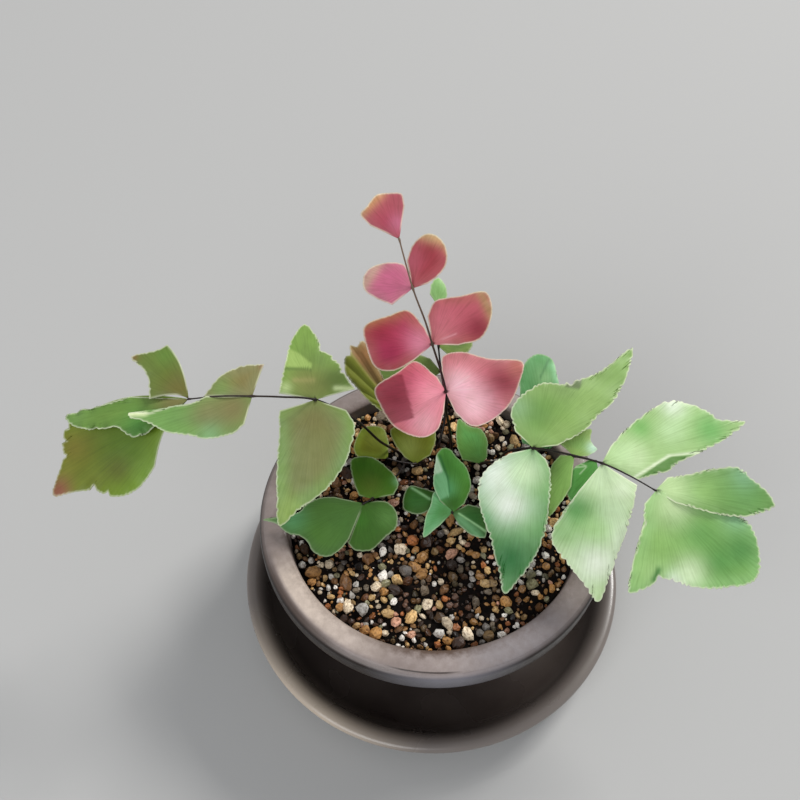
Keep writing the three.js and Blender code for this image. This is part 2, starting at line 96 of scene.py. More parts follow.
PLANT_MIDDLE = (0, 0, 0.06)
WARM_WHITE = (1.0, 0.985, 0.96)
COOL_WHITE = (0.96, 0.98, 1.0)
SKY_COLOUR = (0.96, 0.97, 1.0, 1)
SKY_STRENGTH = 0.4
soft_lamp("window_lamp", (1.5, 1.3, 1.9), PLANT_MIDDLE, size=0.9, power=62, colour=WARM_WHITE)
soft_lamp("fill_lamp", (-0.9, -1.5, 1.5), PLANT_MIDDLE, size=1.6, power=26, colour=COOL_WHITE)

world = bpy.data.worlds.new("studio")
bpy.context.scene.world = world
world.use_nodes = True
sky = world.node_tree.nodes["Background"]
sky.inputs["Color"].default_value = SKY_COLOUR
sky.inputs["Strength"].default_value = SKY_STRENGTH
bpy.context.scene.view_settings.view_transform = "Standard"
print("two lamps and a pale sky")

# %% [markdown]
# ## Helpers
# Most pieces are surfaces on a grid: rows of points that a formula gives all at once. The helpers turn
# such a grid into faces, hand the piece to its body, and hide the plain solid that it stands for.
# Colours are written as they look on a screen, and Blender wants them linear.

# %% Colours and small formulas
CURVE_CUTS = 24


def linear(code):
    """The linear colour of a screen colour of six hex digits. Formula: ((c + 0.055) / 1.055) ^ 2.4."""
    channels = np.array([int(code[i:i + 2], 16) for i in (0, 2, 4)]) / 255
    return np.where(channels > 0.04045, ((channels + 0.055) / 1.055) ** 2.4, channels / 12.92)


def ease(low, high, value):
    """A soft step: 0 below low, 1 above high, and 3t^2 - 2t^3 between them."""
    t = np.clip((value - low) / (high - low), 0, 1)
    return t * t * (3 - 2 * t)


def sine(value, length, shift):
    """A wave along a value: sin(2 pi value / length + shift)."""
    return np.sin(2 * np.pi * value / length + shift)


def around(count):
    """Angles at even steps round a full turn."""
    return np.linspace(0, 2 * np.pi, count, endpoint=False)


def headings(line):
    """Unit vectors along a line of points."""
    direction = np.gradient(line, axis=0)
    return direction / np.linalg.norm(direction, axis=1, keepdims=True)


def through(points, samples):
    """A smooth line through points, a centripetal Catmull-Rom curve, cut into equal lengths.

    Each stretch between two points is a cubic whose knots lie as far apart as the root of the distance
    between its points, so that the line doesn't loop at close points. The ends are mirrored outwards.
    Returns the samples and each one's length along the line.
    """
    points = np.asarray(points, float)
    p = np.array([2 * points[0] - points[1], *points, 2 * points[-1] - points[-2]])
    knots = np.concatenate([[0], np.cumsum(np.linalg.norm(np.diff(p, axis=0), axis=1) ** 0.5)])
    stretch = np.repeat(np.arange(1, len(p) - 2), CURVE_CUTS)
    share = np.tile(np.arange(CURVE_CUTS) / CURVE_CUTS, len(p) - 3)
    t0, t1, t2, t3 = (knots[stretch + offset][:, None] for offset in (-1, 0, 1, 2))
    p0, p1, p2, p3 = (p[stretch + offset] for offset in (-1, 0, 1, 2))
    t = t1 + (t2 - t1) * share[:, None]
    a1 = ((t1 - t) * p0 + (t - t0) * p1) / (t1 - t0)
    a2 = ((t2 - t) * p1 + (t - t1) * p2) / (t2 - t1)
    a3 = ((t3 - t) * p2 + (t - t2) * p3) / (t3 - t2)
    b1 = ((t2 - t) * a1 + (t - t0) * a2) / (t2 - t0)
    b2 = ((t3 - t) * a2 + (t - t1) * a3) / (t3 - t1)
    curve = np.vstack([((t2 - t) * b1 + (t - t1) * b2) / (t2 - t1), points[-1]])
    lengths = np.concatenate([[0], np.cumsum(np.linalg.norm(np.diff(curve, axis=0), axis=1))])
    even = np.linspace(0, lengths[-1], samples)
    return np.column_stack([np.interp(even, lengths, curve[:, i]) for i in range(points.shape[1])]), even


def through_at(points, spacing, fewest=2):
    """The same line with its samples about a spacing apart."""
    whole = through(points, 2)[1][-1]
    return through(points, max(fewest, int(whole / spacing)))


print("a mid grey", linear("808080").round(3).tolist())

# %% Meshes
def grid_faces(rows, columns, closed_rows=False, closed_columns=False):
    """The four-cornered faces of a grid of points, row by row. A closed way joins its last to its first."""
    down = np.arange(rows if closed_rows else rows - 1)
    along = np.arange(columns if closed_columns else columns - 1)
    i, j = (side.ravel() for side in np.meshgrid(down, along, indexing="ij"))
    here, below = i * columns, (i + 1) % rows * columns
    right = (j + 1) % columns
    return np.column_stack([here + j, here + right, below + right, below + j])


def tube_faces(rows, columns):
    """The faces of a grid closed round its columns, with a flat face over its first and its last row."""
    first = np.arange(columns)[::-1]
    last = (rows - 1) * columns + np.arange(columns)
    return [*grid_faces(rows, columns, closed_columns=True).tolist(), first.tolist(), last.tolist()]


def piece(name, points, faces, material, replaced, colours=None, uv=None):
    """Makes a smooth mesh object from points in millimetres, and puts it in place of solid nodes."""
    mesh = bpy.data.meshes.new(name)
    mesh.from_pydata((np.asarray(points) * MM).tolist(), [], [list(face) for face in faces])
    mesh.shade_smooth()
    if colours is not None:
        layer = mesh.color_attributes.new("tint", "FLOAT_COLOR", "POINT")
        rgba = np.column_stack([colours, np.ones(len(colours))])
        layer.data.foreach_set("color", rgba.astype(np.float32).ravel())
    if uv is not None:
        corners = np.zeros(len(mesh.loops), np.int32)
        mesh.loops.foreach_get("vertex_index", corners)
        mesh.uv_layers.new(name="veins").data.foreach_set("uv", uv[corners].astype(np.float32).ravel())
    mesh.materials.append(material)
    made = bpy.data.objects.new(name, mesh)
    bpy.context.scene.collection.objects.link(made)
    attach(made, "root")
    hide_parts(*replaced)
    print(name, len(mesh.polygons), "faces")
    return made


# %% Materials
class Shader:
    """A material with one Principled shader, and a short way to add and join nodes."""

    def __init__(self, name):
        self.material = bpy.data.materials.new(name)
        self.material.use_nodes = True
        self.tree = self.material.node_tree
        self.surface = self.tree.nodes["Principled BSDF"]

    def node(self, kind, **settings):
        """Adds a node and gives it its settings."""
        made = self.tree.nodes.new(kind)
        for key, value in settings.items():
            setattr(made, key, value)
        return made

    def feed(self, socket, value):
        """Joins a socket to another node, or sets it to a number or to a colour code."""
        if isinstance(value, bpy.types.NodeSocket):
            self.tree.links.new(value, socket)
        elif isinstance(value, str):
            socket.default_value = (*linear(value), 1)
        else:
            socket.default_value = value

    def put(self, name, value):
        """Feeds one of the surface's own sockets."""
        self.feed(self.surface.inputs[name], value)

    def math(self, operation, first, second=0.0):
        made = self.node("ShaderNodeMath", operation=operation)
        self.feed(made.inputs[0], first)
        self.feed(made.inputs[1], second)
        return made.outputs[0]

    def plus(self, first, second):
        return self.math("ADD", first, second)

    def minus(self, first, second):
        return self.math("SUBTRACT", first, second)

    def times(self, first, second):
        return self.math("MULTIPLY", first, second)

    def power(self, first, second):
        return self.math("POWER", first, second)

    def apart(self, first, second):
        """The distance between two values: |first - second|."""
        return self.math("ABSOLUTE", self.minus(first, second))

    def split(self, vector):
        """The three parts of a vector."""
        parts = self.node("ShaderNodeSeparateXYZ")
        self.feed(parts.inputs[0], vector)
        return parts.outputs["X"], parts.outputs["Y"], parts.outputs["Z"]

    def tint(self):
        """The colour that the piece itself carries at each point."""
        return self.node("ShaderNodeAttribute", attribute_name="tint").outputs["Color"]

    def noise(self, scale, detail=3.0, roughness=0.5, stretch=(1, 1, 1)):
        """A cloudy value on Object coordinates."""
        place = self.node("ShaderNodeTexCoord")
        turn = self.node("ShaderNodeMapping")
        turn.inputs["Scale"].default_value = stretch
        made = self.node("ShaderNodeTexNoise")
        made.inputs["Scale"].default_value = scale
        made.inputs["Detail"].default_value = detail
        made.inputs["Roughness"].default_value = roughness
        self.feed(turn.inputs["Vector"], place.outputs["Object"])
        self.feed(made.inputs["Vector"], turn.outputs["Vector"])
        return made.outputs["Fac"]

    def ramp(self, value, stops):
        """Colours along a value, from a list of (place, colour code)."""
        made = self.node("ShaderNodeValToRGB")
        elements = made.color_ramp.elements
        while len(elements) < len(stops):
            elements.new(0.5)
        for element, (place, code) in zip(elements, stops):
            element.position = place
            element.color = (*linear(code), 1)
        self.feed(made.inputs["Fac"], value)
        return made.outputs["Color"]

    def span(self, value, low, high, to_low=0.0, to_high=1.0):
        """Carries a value from one range to another, and keeps it inside."""
        made = self.node("ShaderNodeMapRange")
        for socket, number in zip(list(made.inputs)[1:5], (low, high, to_low, to_high)):
            socket.default_value = number
        self.feed(made.inputs["Value"], value)
        return made.outputs["Result"]

    def span_mm(self, value, low, high, to_low=0.0, to_high=1.0):
        """The same for a length in metres, with its range in millimetres."""
        return self.span(value, low * MM, high * MM, to_low, to_high)

    def mix(self, share, first, second, blend="MIX"):
        """A colour between two. A mix node of colours has its share as socket 0 and them as 6 and 7."""
        made = self.node("ShaderNodeMix", data_type="RGBA", blend_type=blend)
        for index, value in ((0, share), (6, first), (7, second)):
            self.feed(made.inputs[index], value)
        return made.outputs[2]

    def bump(self, height, distance):
        """A relief on the surface, so many metres high."""
        made = self.node("ShaderNodeBump")
        made.inputs["Strength"].default_value = 1
        made.inputs["Distance"].default_value = distance
        self.feed(made.inputs["Height"], height)
        self.put("Normal", made.outputs["Normal"])


print("helpers ready")

# %% [markdown]
# ## Floor
# The floor is plain and pale, and isn't part of the plant. A wide sheet with one soft colour is enough,
# because its only work is to take the shadow. It lies a hair below the dish.

# %% Floor
FLOOR_HALF = 3.0
FLOOR_HEIGHT = -0.1 * MM
floor_shader = Shader("floor")
floor_shader.put("Base Color", "b1b1b0")
floor_shader.put("Roughness", 0.95)
floor_corners = [(-1, -1), (1, -1), (1, 1), (-1, 1)]
floor_mesh = bpy.data.meshes.new("floor")
floor_mesh.from_pydata([(x * FLOOR_HALF, y * FLOOR_HALF, FLOOR_HEIGHT) for x, y in floor_corners], [],
                       [(0, 1, 2, 3)])
floor_mesh.materials.append(floor_shader.material)
floor = bpy.data.objects.new("floor", floor_mesh)
bpy.context.scene.collection.objects.link(floor)
print("floor", 2 * FLOOR_HALF, "m wide")

# %% [markdown]
# ## Saucer and bowl
# Both were thrown on a wheel, so each is a section turned about the upright axis. The section is a chain
# of short straights and soft bends, and every bend is a parabola between two points with a third that
# pulls it out, so the saucer's lip ends a little inside the radius that its bends are pulled towards. A
# screw modifier would turn the sections too, but clay from a hand is never quite round: the formula can
# add a slow wave of a tenth or two of a millimetre to the radius.

# %% Turned clay
ROUND_STEPS = 240
BEND_STEPS = 10


def bend(start, pull, end):
    """Points on a parabola: (1-t)^2 start + 2t(1-t) pull + t^2 end."""
    t = np.linspace(0, 1, BEND_STEPS + 1)[:, None]
    start, pull, end = (np.array(point, float) for point in (start, pull, end))
    return (1 - t) ** 2 * start + 2 * t * (1 - t) * pull + t ** 2 * end


def section(*parts):
    """Joins bends and single points into one line, without doubled points."""
    line = np.vstack([np.atleast_2d(part) for part in parts]).astype(float)
    keep = np.concatenate([[True], np.linalg.norm(np.diff(line, axis=0), axis=1) > 1e-6])
    return line[keep]


def turned(name, line, wobble, material, replaced, closed):
    """A section (radius, height) turned about Z: x = r cos a, y = r sin a, z = height.

    r = radius + wobble (sin(2a + 0.7) + 0.6 sin(3a + 2.1)), where the wobble comes up from 4 to 30 mm out.
    A closed section is a ring. An open one starts and ends at the axis, where two flat faces close it.
    """
    angle = around(ROUND_STEPS)
    radius, height = line[:, :1], line[:, 1:]
    r = radius + wobble * (np.sin(2 * angle + 0.7) + 0.6 * np.sin(3 * angle + 2.1)) * ease(4, 30, radius)
    points = np.stack([r * np.cos(angle), r * np.sin(angle), np.broadcast_to(height, r.shape)], axis=-1)
    if closed:
        faces = grid_faces(len(line), ROUND_STEPS, closed_rows=True, closed_columns=True)
    else:
        faces = tube_faces(len(line), ROUND_STEPS)
    piece(name, points.reshape(-1, 3), faces, material, replaced)


print(ROUND_STEPS, "steps round,", BEND_STEPS, "to a bend")

# %% Section of the saucer
AXIS_RADIUS = 0.05
SAUCER_RADIUS = 61.2
SAUCER_FLOOR = 3
SAUCER_FLOOR_RINGS = 9
SAUCER_FOOT_RADIUS = 44
SAUCER_FOOT_ROUND = 1
SAUCER_FOOT_LIFT = 0.1
SAUCER_FLAT_RADIUS = 40
SAUCER_LIP_WIDTH = 5.6
SAUCER_LIP_DEPTH = 4
SAUCER_LEAN = 1.2
SAUCER_SLOPE = 1.6

saucer_top = saucer_high[2]
lip_inside = SAUCER_RADIUS - SAUCER_LIP_WIDTH
lip_bottom = saucer_top - SAUCER_LIP_DEPTH
lip_crest = (SAUCER_RADIUS - SAUCER_LIP_WIDTH / 2, saucer_top)
under_lip = (SAUCER_RADIUS - SAUCER_LEAN, lip_bottom)
within_lip = (lip_inside - SAUCER_SLOPE, lip_bottom)
saucer_section = section(
    (AXIS_RADIUS, 0),
    (SAUCER_FOOT_RADIUS - SAUCER_FOOT_ROUND, 0),
    bend((SAUCER_FOOT_RADIUS, SAUCER_FOOT_LIFT), (lip_inside, SAUCER_FLOOR / 2), under_lip),
    bend(under_lip, (SAUCER_RADIUS + SAUCER_LEAN, saucer_top), lip_crest),
    bend(lip_crest, (lip_inside, saucer_top), within_lip),
    bend(within_lip, (lip_inside - SAUCER_LIP_DEPTH, SAUCER_FLOOR), (SAUCER_FLAT_RADIUS, SAUCER_FLOOR)),
    np.column_stack([np.linspace(SAUCER_FLAT_RADIUS, AXIS_RADIUS, SAUCER_FLOOR_RINGS),
                     np.full(SAUCER_FLOOR_RINGS, SAUCER_FLOOR)]),
)
print("saucer section", len(saucer_section), "points")

# %% Section of the bowl
BAND_RADIUS = pot_high[0]
POT_TOP = pot_high[2]
RIM_RADIUS = 50.6
RIM_STEP = 1.3
RIM_ROUND = 1.5
SHOULDER_OUT = 0.6
SHOULDER_UP = 0.35
BAND_BOTTOM = 41.6
BAND_ROUND = 2.8
BELLY = (39, 24)
FOOT_RADIUS = 27.5
FOOT_INSIDE = 24.5
FOOT_ROUND = 0.5
POT_UNDERSIDE = 5
POT_FLOOR = 9
DRAIN_RADIUS = 5
MOUTH_RADIUS = 44.2
MOUTH_LEAN = 0.4
INNER_BELLY = (40, 30)
SOIL_EDGE = 46.2

shoulder = POT_TOP - RIM_STEP
over_shoulder = (RIM_RADIUS + SHOULDER_OUT, shoulder + SHOULDER_UP)
under_band = (RIM_RADIUS - RIM_ROUND, BAND_BOTTOM)
inner_foot = (FOOT_INSIDE, SAUCER_FLOOR + FOOT_ROUND)
outer_foot = (FOOT_RADIUS, SAUCER_FLOOR + FOOT_ROUND)
pot_section = section(
    (DRAIN_RADIUS, POT_UNDERSIDE),
    bend((FOOT_INSIDE - 2 * FOOT_ROUND, POT_UNDERSIDE), (FOOT_INSIDE, POT_UNDERSIDE), inner_foot),
    bend(inner_foot, (FOOT_INSIDE, SAUCER_FLOOR), (FOOT_INSIDE + FOOT_ROUND, SAUCER_FLOOR)),
    bend((FOOT_RADIUS - FOOT_ROUND, SAUCER_FLOOR), (FOOT_RADIUS, SAUCER_FLOOR), outer_foot),
    bend((FOOT_RADIUS, POT_UNDERSIDE), BELLY, under_band),
    bend(under_band, (BAND_RADIUS, BAND_BOTTOM), (BAND_RADIUS, BAND_BOTTOM + BAND_ROUND)),
    bend((BAND_RADIUS, shoulder - RIM_ROUND), (BAND_RADIUS, shoulder), over_shoulder),
    bend(over_shoulder, (RIM_RADIUS, POT_TOP), (RIM_RADIUS - 2 * RIM_ROUND, POT_TOP)),
    bend((MOUTH_RADIUS + RIM_ROUND, POT_TOP), (MOUTH_RADIUS, POT_TOP), (MOUTH_RADIUS, POT_TOP - RIM_ROUND)),
    bend((MOUTH_RADIUS - MOUTH_LEAN, SOIL_EDGE), INNER_BELLY, (FOOT_INSIDE, POT_FLOOR)),
    (DRAIN_RADIUS, POT_FLOOR),
)
print("bowl section", len(pot_section), "points")

# %% [markdown]
# The glaze on the bowl is a grey mauve. The rim has a painted highlight on its left front, with painted
# shade on the roll outside it, and a painted reflection makes it cooler on its right. Soil has washed over
# the inner edge in front and left it brown, painted shade darkens the back of the inner wall, and a short
# line of painted shade marks a small crease along the rim's outer edge. Painted shade makes the band
# nearly black round the sides and a painted reflection makes it greyer in front, and painted shade darkens
# the glaze below it. The saucer's glaze is almost black inside and thins to a warm grey brown over the
# lip, with a painted highlight on its left front. All of this depends on the height and on the place seen
# from above, which the Object coordinates give.

# %% Glazes
RIM_HIGHLIGHT_SPOT = (-38, -28)
RIM_REFLECTION_SPOT = (22, -42)
BAND_REFLECTION_SPOT = (3, -54)
WASHED_SPOT = (-1, -46)
SAUCER_HIGHLIGHT_SPOT = (-38, -46)
CREASE_RADIUS = 50.6
CREASE_MIDDLE = -4


def distance_in_plan(shader, across, depth, x, y):
    """Distance in metres from the upright line through (x, y), given in millimetres."""
    off_x = shader.power(shader.minus(across, x * MM), 2.0)
    off_y = shader.power(shader.minus(depth, y * MM), 2.0)
    return shader.math("SQRT", shader.plus(off_x, off_y))


def coordinates(shader):
    """Four sockets in metres: the distance from the upright axis, the height, X and Y."""
    across, depth, height = shader.split(shader.node("ShaderNodeTexCoord").outputs["Object"])
    return distance_in_plan(shader, across, depth, 0, 0), height, across, depth


def pot_glaze():
    """A cloudy grey mauve, with each mark, painted light and shade among them, laid over it as a colour and a
    mask.
    """
    shader = Shader("bowl_glaze")
    radius, height, across, depth = coordinates(shader)
    grain = shader.noise(420, 5, 0.65)

    def near(spot, inner, outer, at_inner, at_outer=0):
        """Fades a strength from one distance from a spot to another, in millimetres."""
        away = distance_in_plan(shader, across, depth, *spot)
        return shader.span_mm(away, inner, outer, at_inner, at_outer)

    body = shader.ramp(shader.noise(55, 4), [(0.32, "867a76"), (0.5, "988c88"), (0.7, "aa9d98")])
    # Painted highlight on the rim's left front, with painted shade on the roll just outside it.
    pale = shader.times(near(RIM_HIGHLIGHT_SPOT, 6, 34, 0.85), shader.span_mm(depth, -12, -22))
    body = shader.mix(shader.times(pale, shader.span_mm(radius, 50.6, 49.4)), body, "d6c6b8")
    body = shader.mix(shader.times(pale, shader.span_mm(radius, 50, 51)), body, "54463f")
    # Painted reflection: the rim turns a cooler grey on its right.
    body = shader.mix(near(RIM_REFLECTION_SPOT, 8, 24, 0.7), body, "7c797d")
    body = shader.mix(shader.span(grain, 0.35, 0.7, 0.3, 0), body, "6b5d55")

    # Painted shade makes the band nearly black round the sides, and a painted reflection makes it greyer in
    # front.
    front = shader.times(near(BAND_REFLECTION_SPOT, 4, 24, 1), shader.span_mm(height, 42, 48.5, 0.55, 1))
    on_band = shader.times(shader.span_mm(height, 50.1, 49.1), shader.span_mm(radius, 46, 48))
    body = shader.mix(on_band, body, shader.mix(front, "1d130e", "75737a"))
    # Painted shade darkens the glaze below the band.
    body = shader.mix(shader.span_mm(height, 43, 40), body, "2a231f")

    ragged_radius = shader.plus(radius, shader.times(shader.noise(210, 5, 0.65), 5 * MM))
    washed = shader.times(shader.span_mm(ragged_radius, 49.6, 47.6), near(WASHED_SPOT, 5, 17, 0.85, 0.3))
    body = shader.mix(washed, body, "4a3526")
    # Painted shade darkens the back of the inner wall.
    back_wall_shade = shader.times(shader.span_mm(radius, 44.9, 44.3, 0, 0.8), shader.span_mm(height, 50.3, 49.5))
    body = shader.mix(shader.times(back_wall_shade, shader.span_mm(depth, 10, 24)), body, "45423e")

    # A short dark line of painted shade marks a small crease in front, along the rim's outer edge.
    crease = shader.span_mm(shader.apart(radius, CREASE_RADIUS * MM), 0.08, 0.3, 0.9, 0)
    crease = shader.times(crease, shader.span_mm(shader.apart(across, CREASE_MIDDLE * MM), 6, 11, 1, 0))
    body = shader.mix(shader.times(crease, shader.span_mm(depth, -40, -42)), body, "2a1e1a")

    shader.put("Base Color", body)
    shader.put("Roughness", shader.span(grain, 0.3, 0.7, 0.28, 0.46))
    shader.put("Specular IOR Level", 0.25)
    shader.put("Coat Weight", 0.2)
    shader.put("Coat Roughness", 0.12)
    shader.bump(grain, 0.16 * MM)
    return shader.material


def saucer_glaze():
    """Almost black, and grey brown over the lip, with a painted highlight on its left front."""
    shader = Shader("saucer_glaze")
    radius, _, across, depth = coordinates(shader)
    cloud = shader.noise(40, 4)
    dark = shader.mix(shader.span(cloud, 0.3, 0.75), "2c2523", "403935")
    # Painted highlight on the lip's left front.
    pale = shader.span_mm(distance_in_plan(shader, across, depth, *SAUCER_HIGHLIGHT_SPOT), 8, 38, 0.85, 0)
    lip = shader.power(shader.span_mm(radius, 50, 61), 1.6)
    shader.put("Base Color", shader.mix(lip, dark, shader.mix(pale, "78706b", "cbbba8")))
    shader.put("Roughness", shader.span(cloud, 0.3, 0.7, 0.2, 0.34))
    shader.put("Coat Weight", 0.2)
    shader.put("Coat Roughness", 0.1)
    return shader.material


turned("saucer_dish", saucer_section, 0.12, saucer_glaze(), ["saucer"], closed=False)
turned("bowl_pot", pot_section, 0.1, pot_glaze(), ["pot"], closed=True)

# %% [markdown]
# ## Soil and grit
# The soil is nearly black, and crumbly grit lies all over it: white pumice, cream and tan gravel, orange
# baked clay and grey stone, from half a millimetre to six across. The ground is a turned filling whose
# top is roughened. Each stone is a ball of few faces that random planes have flattened, and all
# stones are placed, sized and turned as whole arrays. Bigger stones win where two would meet. Copies of
# a few stones would be lighter, but at this distance one sees that they repeat.

# %% Ground
SOIL_MIDDLE = 47.0
SOIL_DROP = 0.5
SOIL_GAP = 0.4
SOIL_ROUGHNESS = 0.45
SOIL_RINGS = 90
soil_seed = np.random.default_rng(11)


def ripple(x, y, seed, count, short, long):
    """A rough height from many sine waves, each with a random heading, length and shift."""
    random = np.random.default_rng(seed)
    heading = random.uniform(0, np.pi, count)
    length = random.uniform(short, long, count)
    shift = random.uniform(0, 2 * np.pi, count)
    along = x[..., None] * np.cos(heading) + y[..., None] * np.sin(heading)
    return sine(along, length, shift).sum(-1) / math.sqrt(count)


def soil_height(x, y):
    """The soil's surface: a low dome with rough waves from 2 to 14 mm long."""
    r = np.hypot(x, y)
    dome = SOIL_EDGE + (SOIL_MIDDLE - SOIL_EDGE) * (1 - (r / MOUTH_RADIUS) ** 2)
    return dome + SOIL_ROUGHNESS * ripple(x, y, seed=5, count=14, short=2, long=14) - SOIL_DROP


def ground_points():
    """Rings of points (r cos a, r sin a, height) from the axis out underneath, up the wall and in on top."""
    wall = bend((MOUTH_RADIUS - MOUTH_LEAN - SOIL_GAP, SOIL_EDGE),
                (INNER_BELLY[0] - SOIL_GAP, INNER_BELLY[1]), (FOOT_INSIDE - SOIL_GAP, POT_FLOOR))
    angle = around(ROUND_STEPS)
    top_radius = np.linspace(AXIS_RADIUS, wall[0, 0], SOIL_RINGS)[:, None]
    top_x, top_y = top_radius * np.cos(angle), top_radius * np.sin(angle)
    top = np.stack([top_x, top_y, soil_height(top_x, top_y)], axis=-1)
    side_radius = np.append(wall[1:, 0], AXIS_RADIUS)[:, None]
    side_height = np.append(wall[1:, 1], POT_FLOOR)[:, None] * np.ones_like(angle)
    side = np.stack([side_radius * np.cos(angle), side_radius * np.sin(angle), side_height], axis=-1)
    return np.concatenate([top, side])[::-1]


def soil_material():
    """Nearly black crumbs that hardly shine."""
    shader = Shader("dark_soil")
    crumbs = shader.noise(700, 5, 0.65)
    shader.put("Base Color", shader.ramp(crumbs, [(0.4, "040201"), (0.6, "0f0704"), (0.78, "30190c")]))
    shader.put("Roughness", 0.95)
    shader.put("Specular IOR Level", 0.15)
    shader.bump(crumbs, 0.5 * MM)
    return shader.material


ground = ground_points()
piece("soil_ground", ground.reshape(-1, 3), tube_faces(len(ground), ROUND_STEPS), soil_material(),
      ["soil"])

# %% [markdown]
# A kind of stone is a colour with its share among the coarse stones and its share among the fine ones,
# because the fine grit is mostly dark. A size is a number of tries with the smallest and the largest
# radius. The stones turn a darker brown in patches, most of all in one wide patch towards the front.

# %% Stones
STONE_KINDS = [
    ("f8f3ea", 0.15, 0.06), ("efdcbe", 0.14, 0.06), ("dfb87c", 0.16, 0.08), ("bd8b50", 0.17, 0.10),
    ("ac6a3a", 0.07, 0.07), ("d09c80", 0.05, 0.04), ("8c8868", 0.07, 0.05), ("77522e", 0.10, 0.17),
    ("3e2718", 0.07, 0.22), ("1a110c", 0.02, 0.15),
]
COARSE_SHARE = 1
FINE_SHARE = 2
STONE_SIZES = [(420, 1.15, 2.2), (1900, 0.72, 1.2), (2300, 0.35, 0.65)]
STONE_OVERLAP = 0.72
STONE_FACETS = 7
STONE_SINK = 0.35
SMALLEST_STRETCH = [1.1, 0.9, 0.75]
LARGEST_STRETCH = [1.5, 1.2, 1.05]
SCATTER_TURN = 0.25
WALL_CLEARANCE = 0.7
# Where and how much the stones turn a darker brown in patches.
DARK_PATCH_MIDDLE = (9, -23)
DARK_PATCH_REACH = (22, 10)
DARK_PATCH_STRENGTH = 0.82
DARK_PATCH_BROWN = "301c0c"


def ball(rings, spokes):
    """A unit ball: a pole, rings of points (sin p cos s, sin p sin s, cos p), a pole.

    Every other ring is turned by half a step. Returns the points and the faces, which are triangles.
    """
    polar = np.linspace(0, np.pi, rings + 2)[1:-1]
    shift = (np.arange(rings) % 2)[:, None] * np.pi / spokes
    spin = around(spokes) + shift
    x = np.sin(polar)[:, None] * np.cos(spin)
    y = np.sin(polar)[:, None] * np.sin(spin)
    z = np.broadcast_to(np.cos(polar)[:, None], x.shape)
    points = np.vstack([[0, 0, 1], np.stack([x, y, z], -1).reshape(-1, 3), [0, 0, -1]])
    quads = grid_faces(rings, spokes, closed_columns=True) + 1
    sides = np.vstack([quads[:, [0, 3, 2]], quads[:, [0, 2, 1]]])
    ring = np.arange(spokes)
    ring_next = (ring + 1) % spokes
    last = 1 + (rings - 1) * spokes
    top_fan = np.column_stack([np.zeros(spokes, int), 1 + ring, 1 + ring_next])
    low_fan = np.column_stack([np.full(spokes, len(points) - 1), last + ring_next, last + ring])
    return points, np.vstack([top_fan, sides, low_fan])


def scatter(count, small, large, random):
    """Places on the soil as even as a sunflower's seeds, shifted by chance, with radii that favour small.

    Stone i of n lies at R sqrt(i / n) from the middle and i pi (3 - sqrt 5) round it.
    """
    radius = small + (large - small) * random.random(count) ** 2
    distance = (MOUTH_RADIUS - 1) * np.sqrt((np.arange(count) + random.random(count)) / count)
    heading = np.arange(count) * math.pi * (3 - math.sqrt(5)) + random.normal(0, SCATTER_TURN, count)
    distance = np.minimum(distance, MOUTH_RADIUS - WALL_CLEARANCE - radius)
    return np.column_stack([distance * np.cos(heading), distance * np.sin(heading), radius])


def thin_out(stones, holes):
    """Keeps the stones, largest first, that leave room for the ones kept before and for the stalks."""
    kept = [np.array(hole) for hole in holes]
    for stone in stones[np.argsort(-stones[:, 2])]:
        others = np.array(kept)
        if np.all(np.hypot(*(others[:, :2] - stone[:2]).T) > STONE_OVERLAP * (others[:, 2] + stone[2])):
            kept.append(stone)
    return np.array(kept[len(holes):])


def random_turns(count, random):
    """Rotation matrices from random unit quaternions (w, x, y, z)."""
    q = random.normal(size=(count, 4))
    w, x, y, z = (q / np.linalg.norm(q, axis=1, keepdims=True)).T
    return np.stack([
        np.stack([1 - 2 * (y * y + z * z), 2 * (x * y - z * w), 2 * (x * z + y * w)], -1),
        np.stack([2 * (x * y + z * w), 1 - 2 * (x * x + z * z), 2 * (y * z - x * w)], -1),
        np.stack([2 * (x * z - y * w), 2 * (y * z + x * w), 1 - 2 * (x * x + y * y)], -1),
    ], 1)


def stone_tints(stones, share, random):
    """A colour for each stone: its kind's, lighter or darker by chance, and a darker brown in patches."""
    x, y = stones[:, 0], stones[:, 1]
    shares = np.array([kind[share] for kind in STONE_KINDS])
    kinds = random.choice(len(STONE_KINDS), len(stones), p=shares / shares.sum())
    palette = np.array([linear(code) for code, *_ in STONE_KINDS])
    dry = palette[kinds] * random.uniform(0.55, 1.2, len(stones))[:, None]
    darkened = linear(DARK_PATCH_BROWN) * random.uniform(0.4, 1.4, (len(stones), 1))
    off_x, off_y = (x - DARK_PATCH_MIDDLE[0]) / DARK_PATCH_REACH[0], (y - DARK_PATCH_MIDDLE[1]) / DARK_PATCH_REACH[1]
    patches = ripple(x, y, seed=23, count=6, short=7, long=20)
    darkening = ease(0.35, 1.15, patches + 1.3 * np.exp(-off_x * off_x - off_y * off_y))
    return dry + (darkened - dry) * DARK_PATCH_STRENGTH * darkening[:, None]


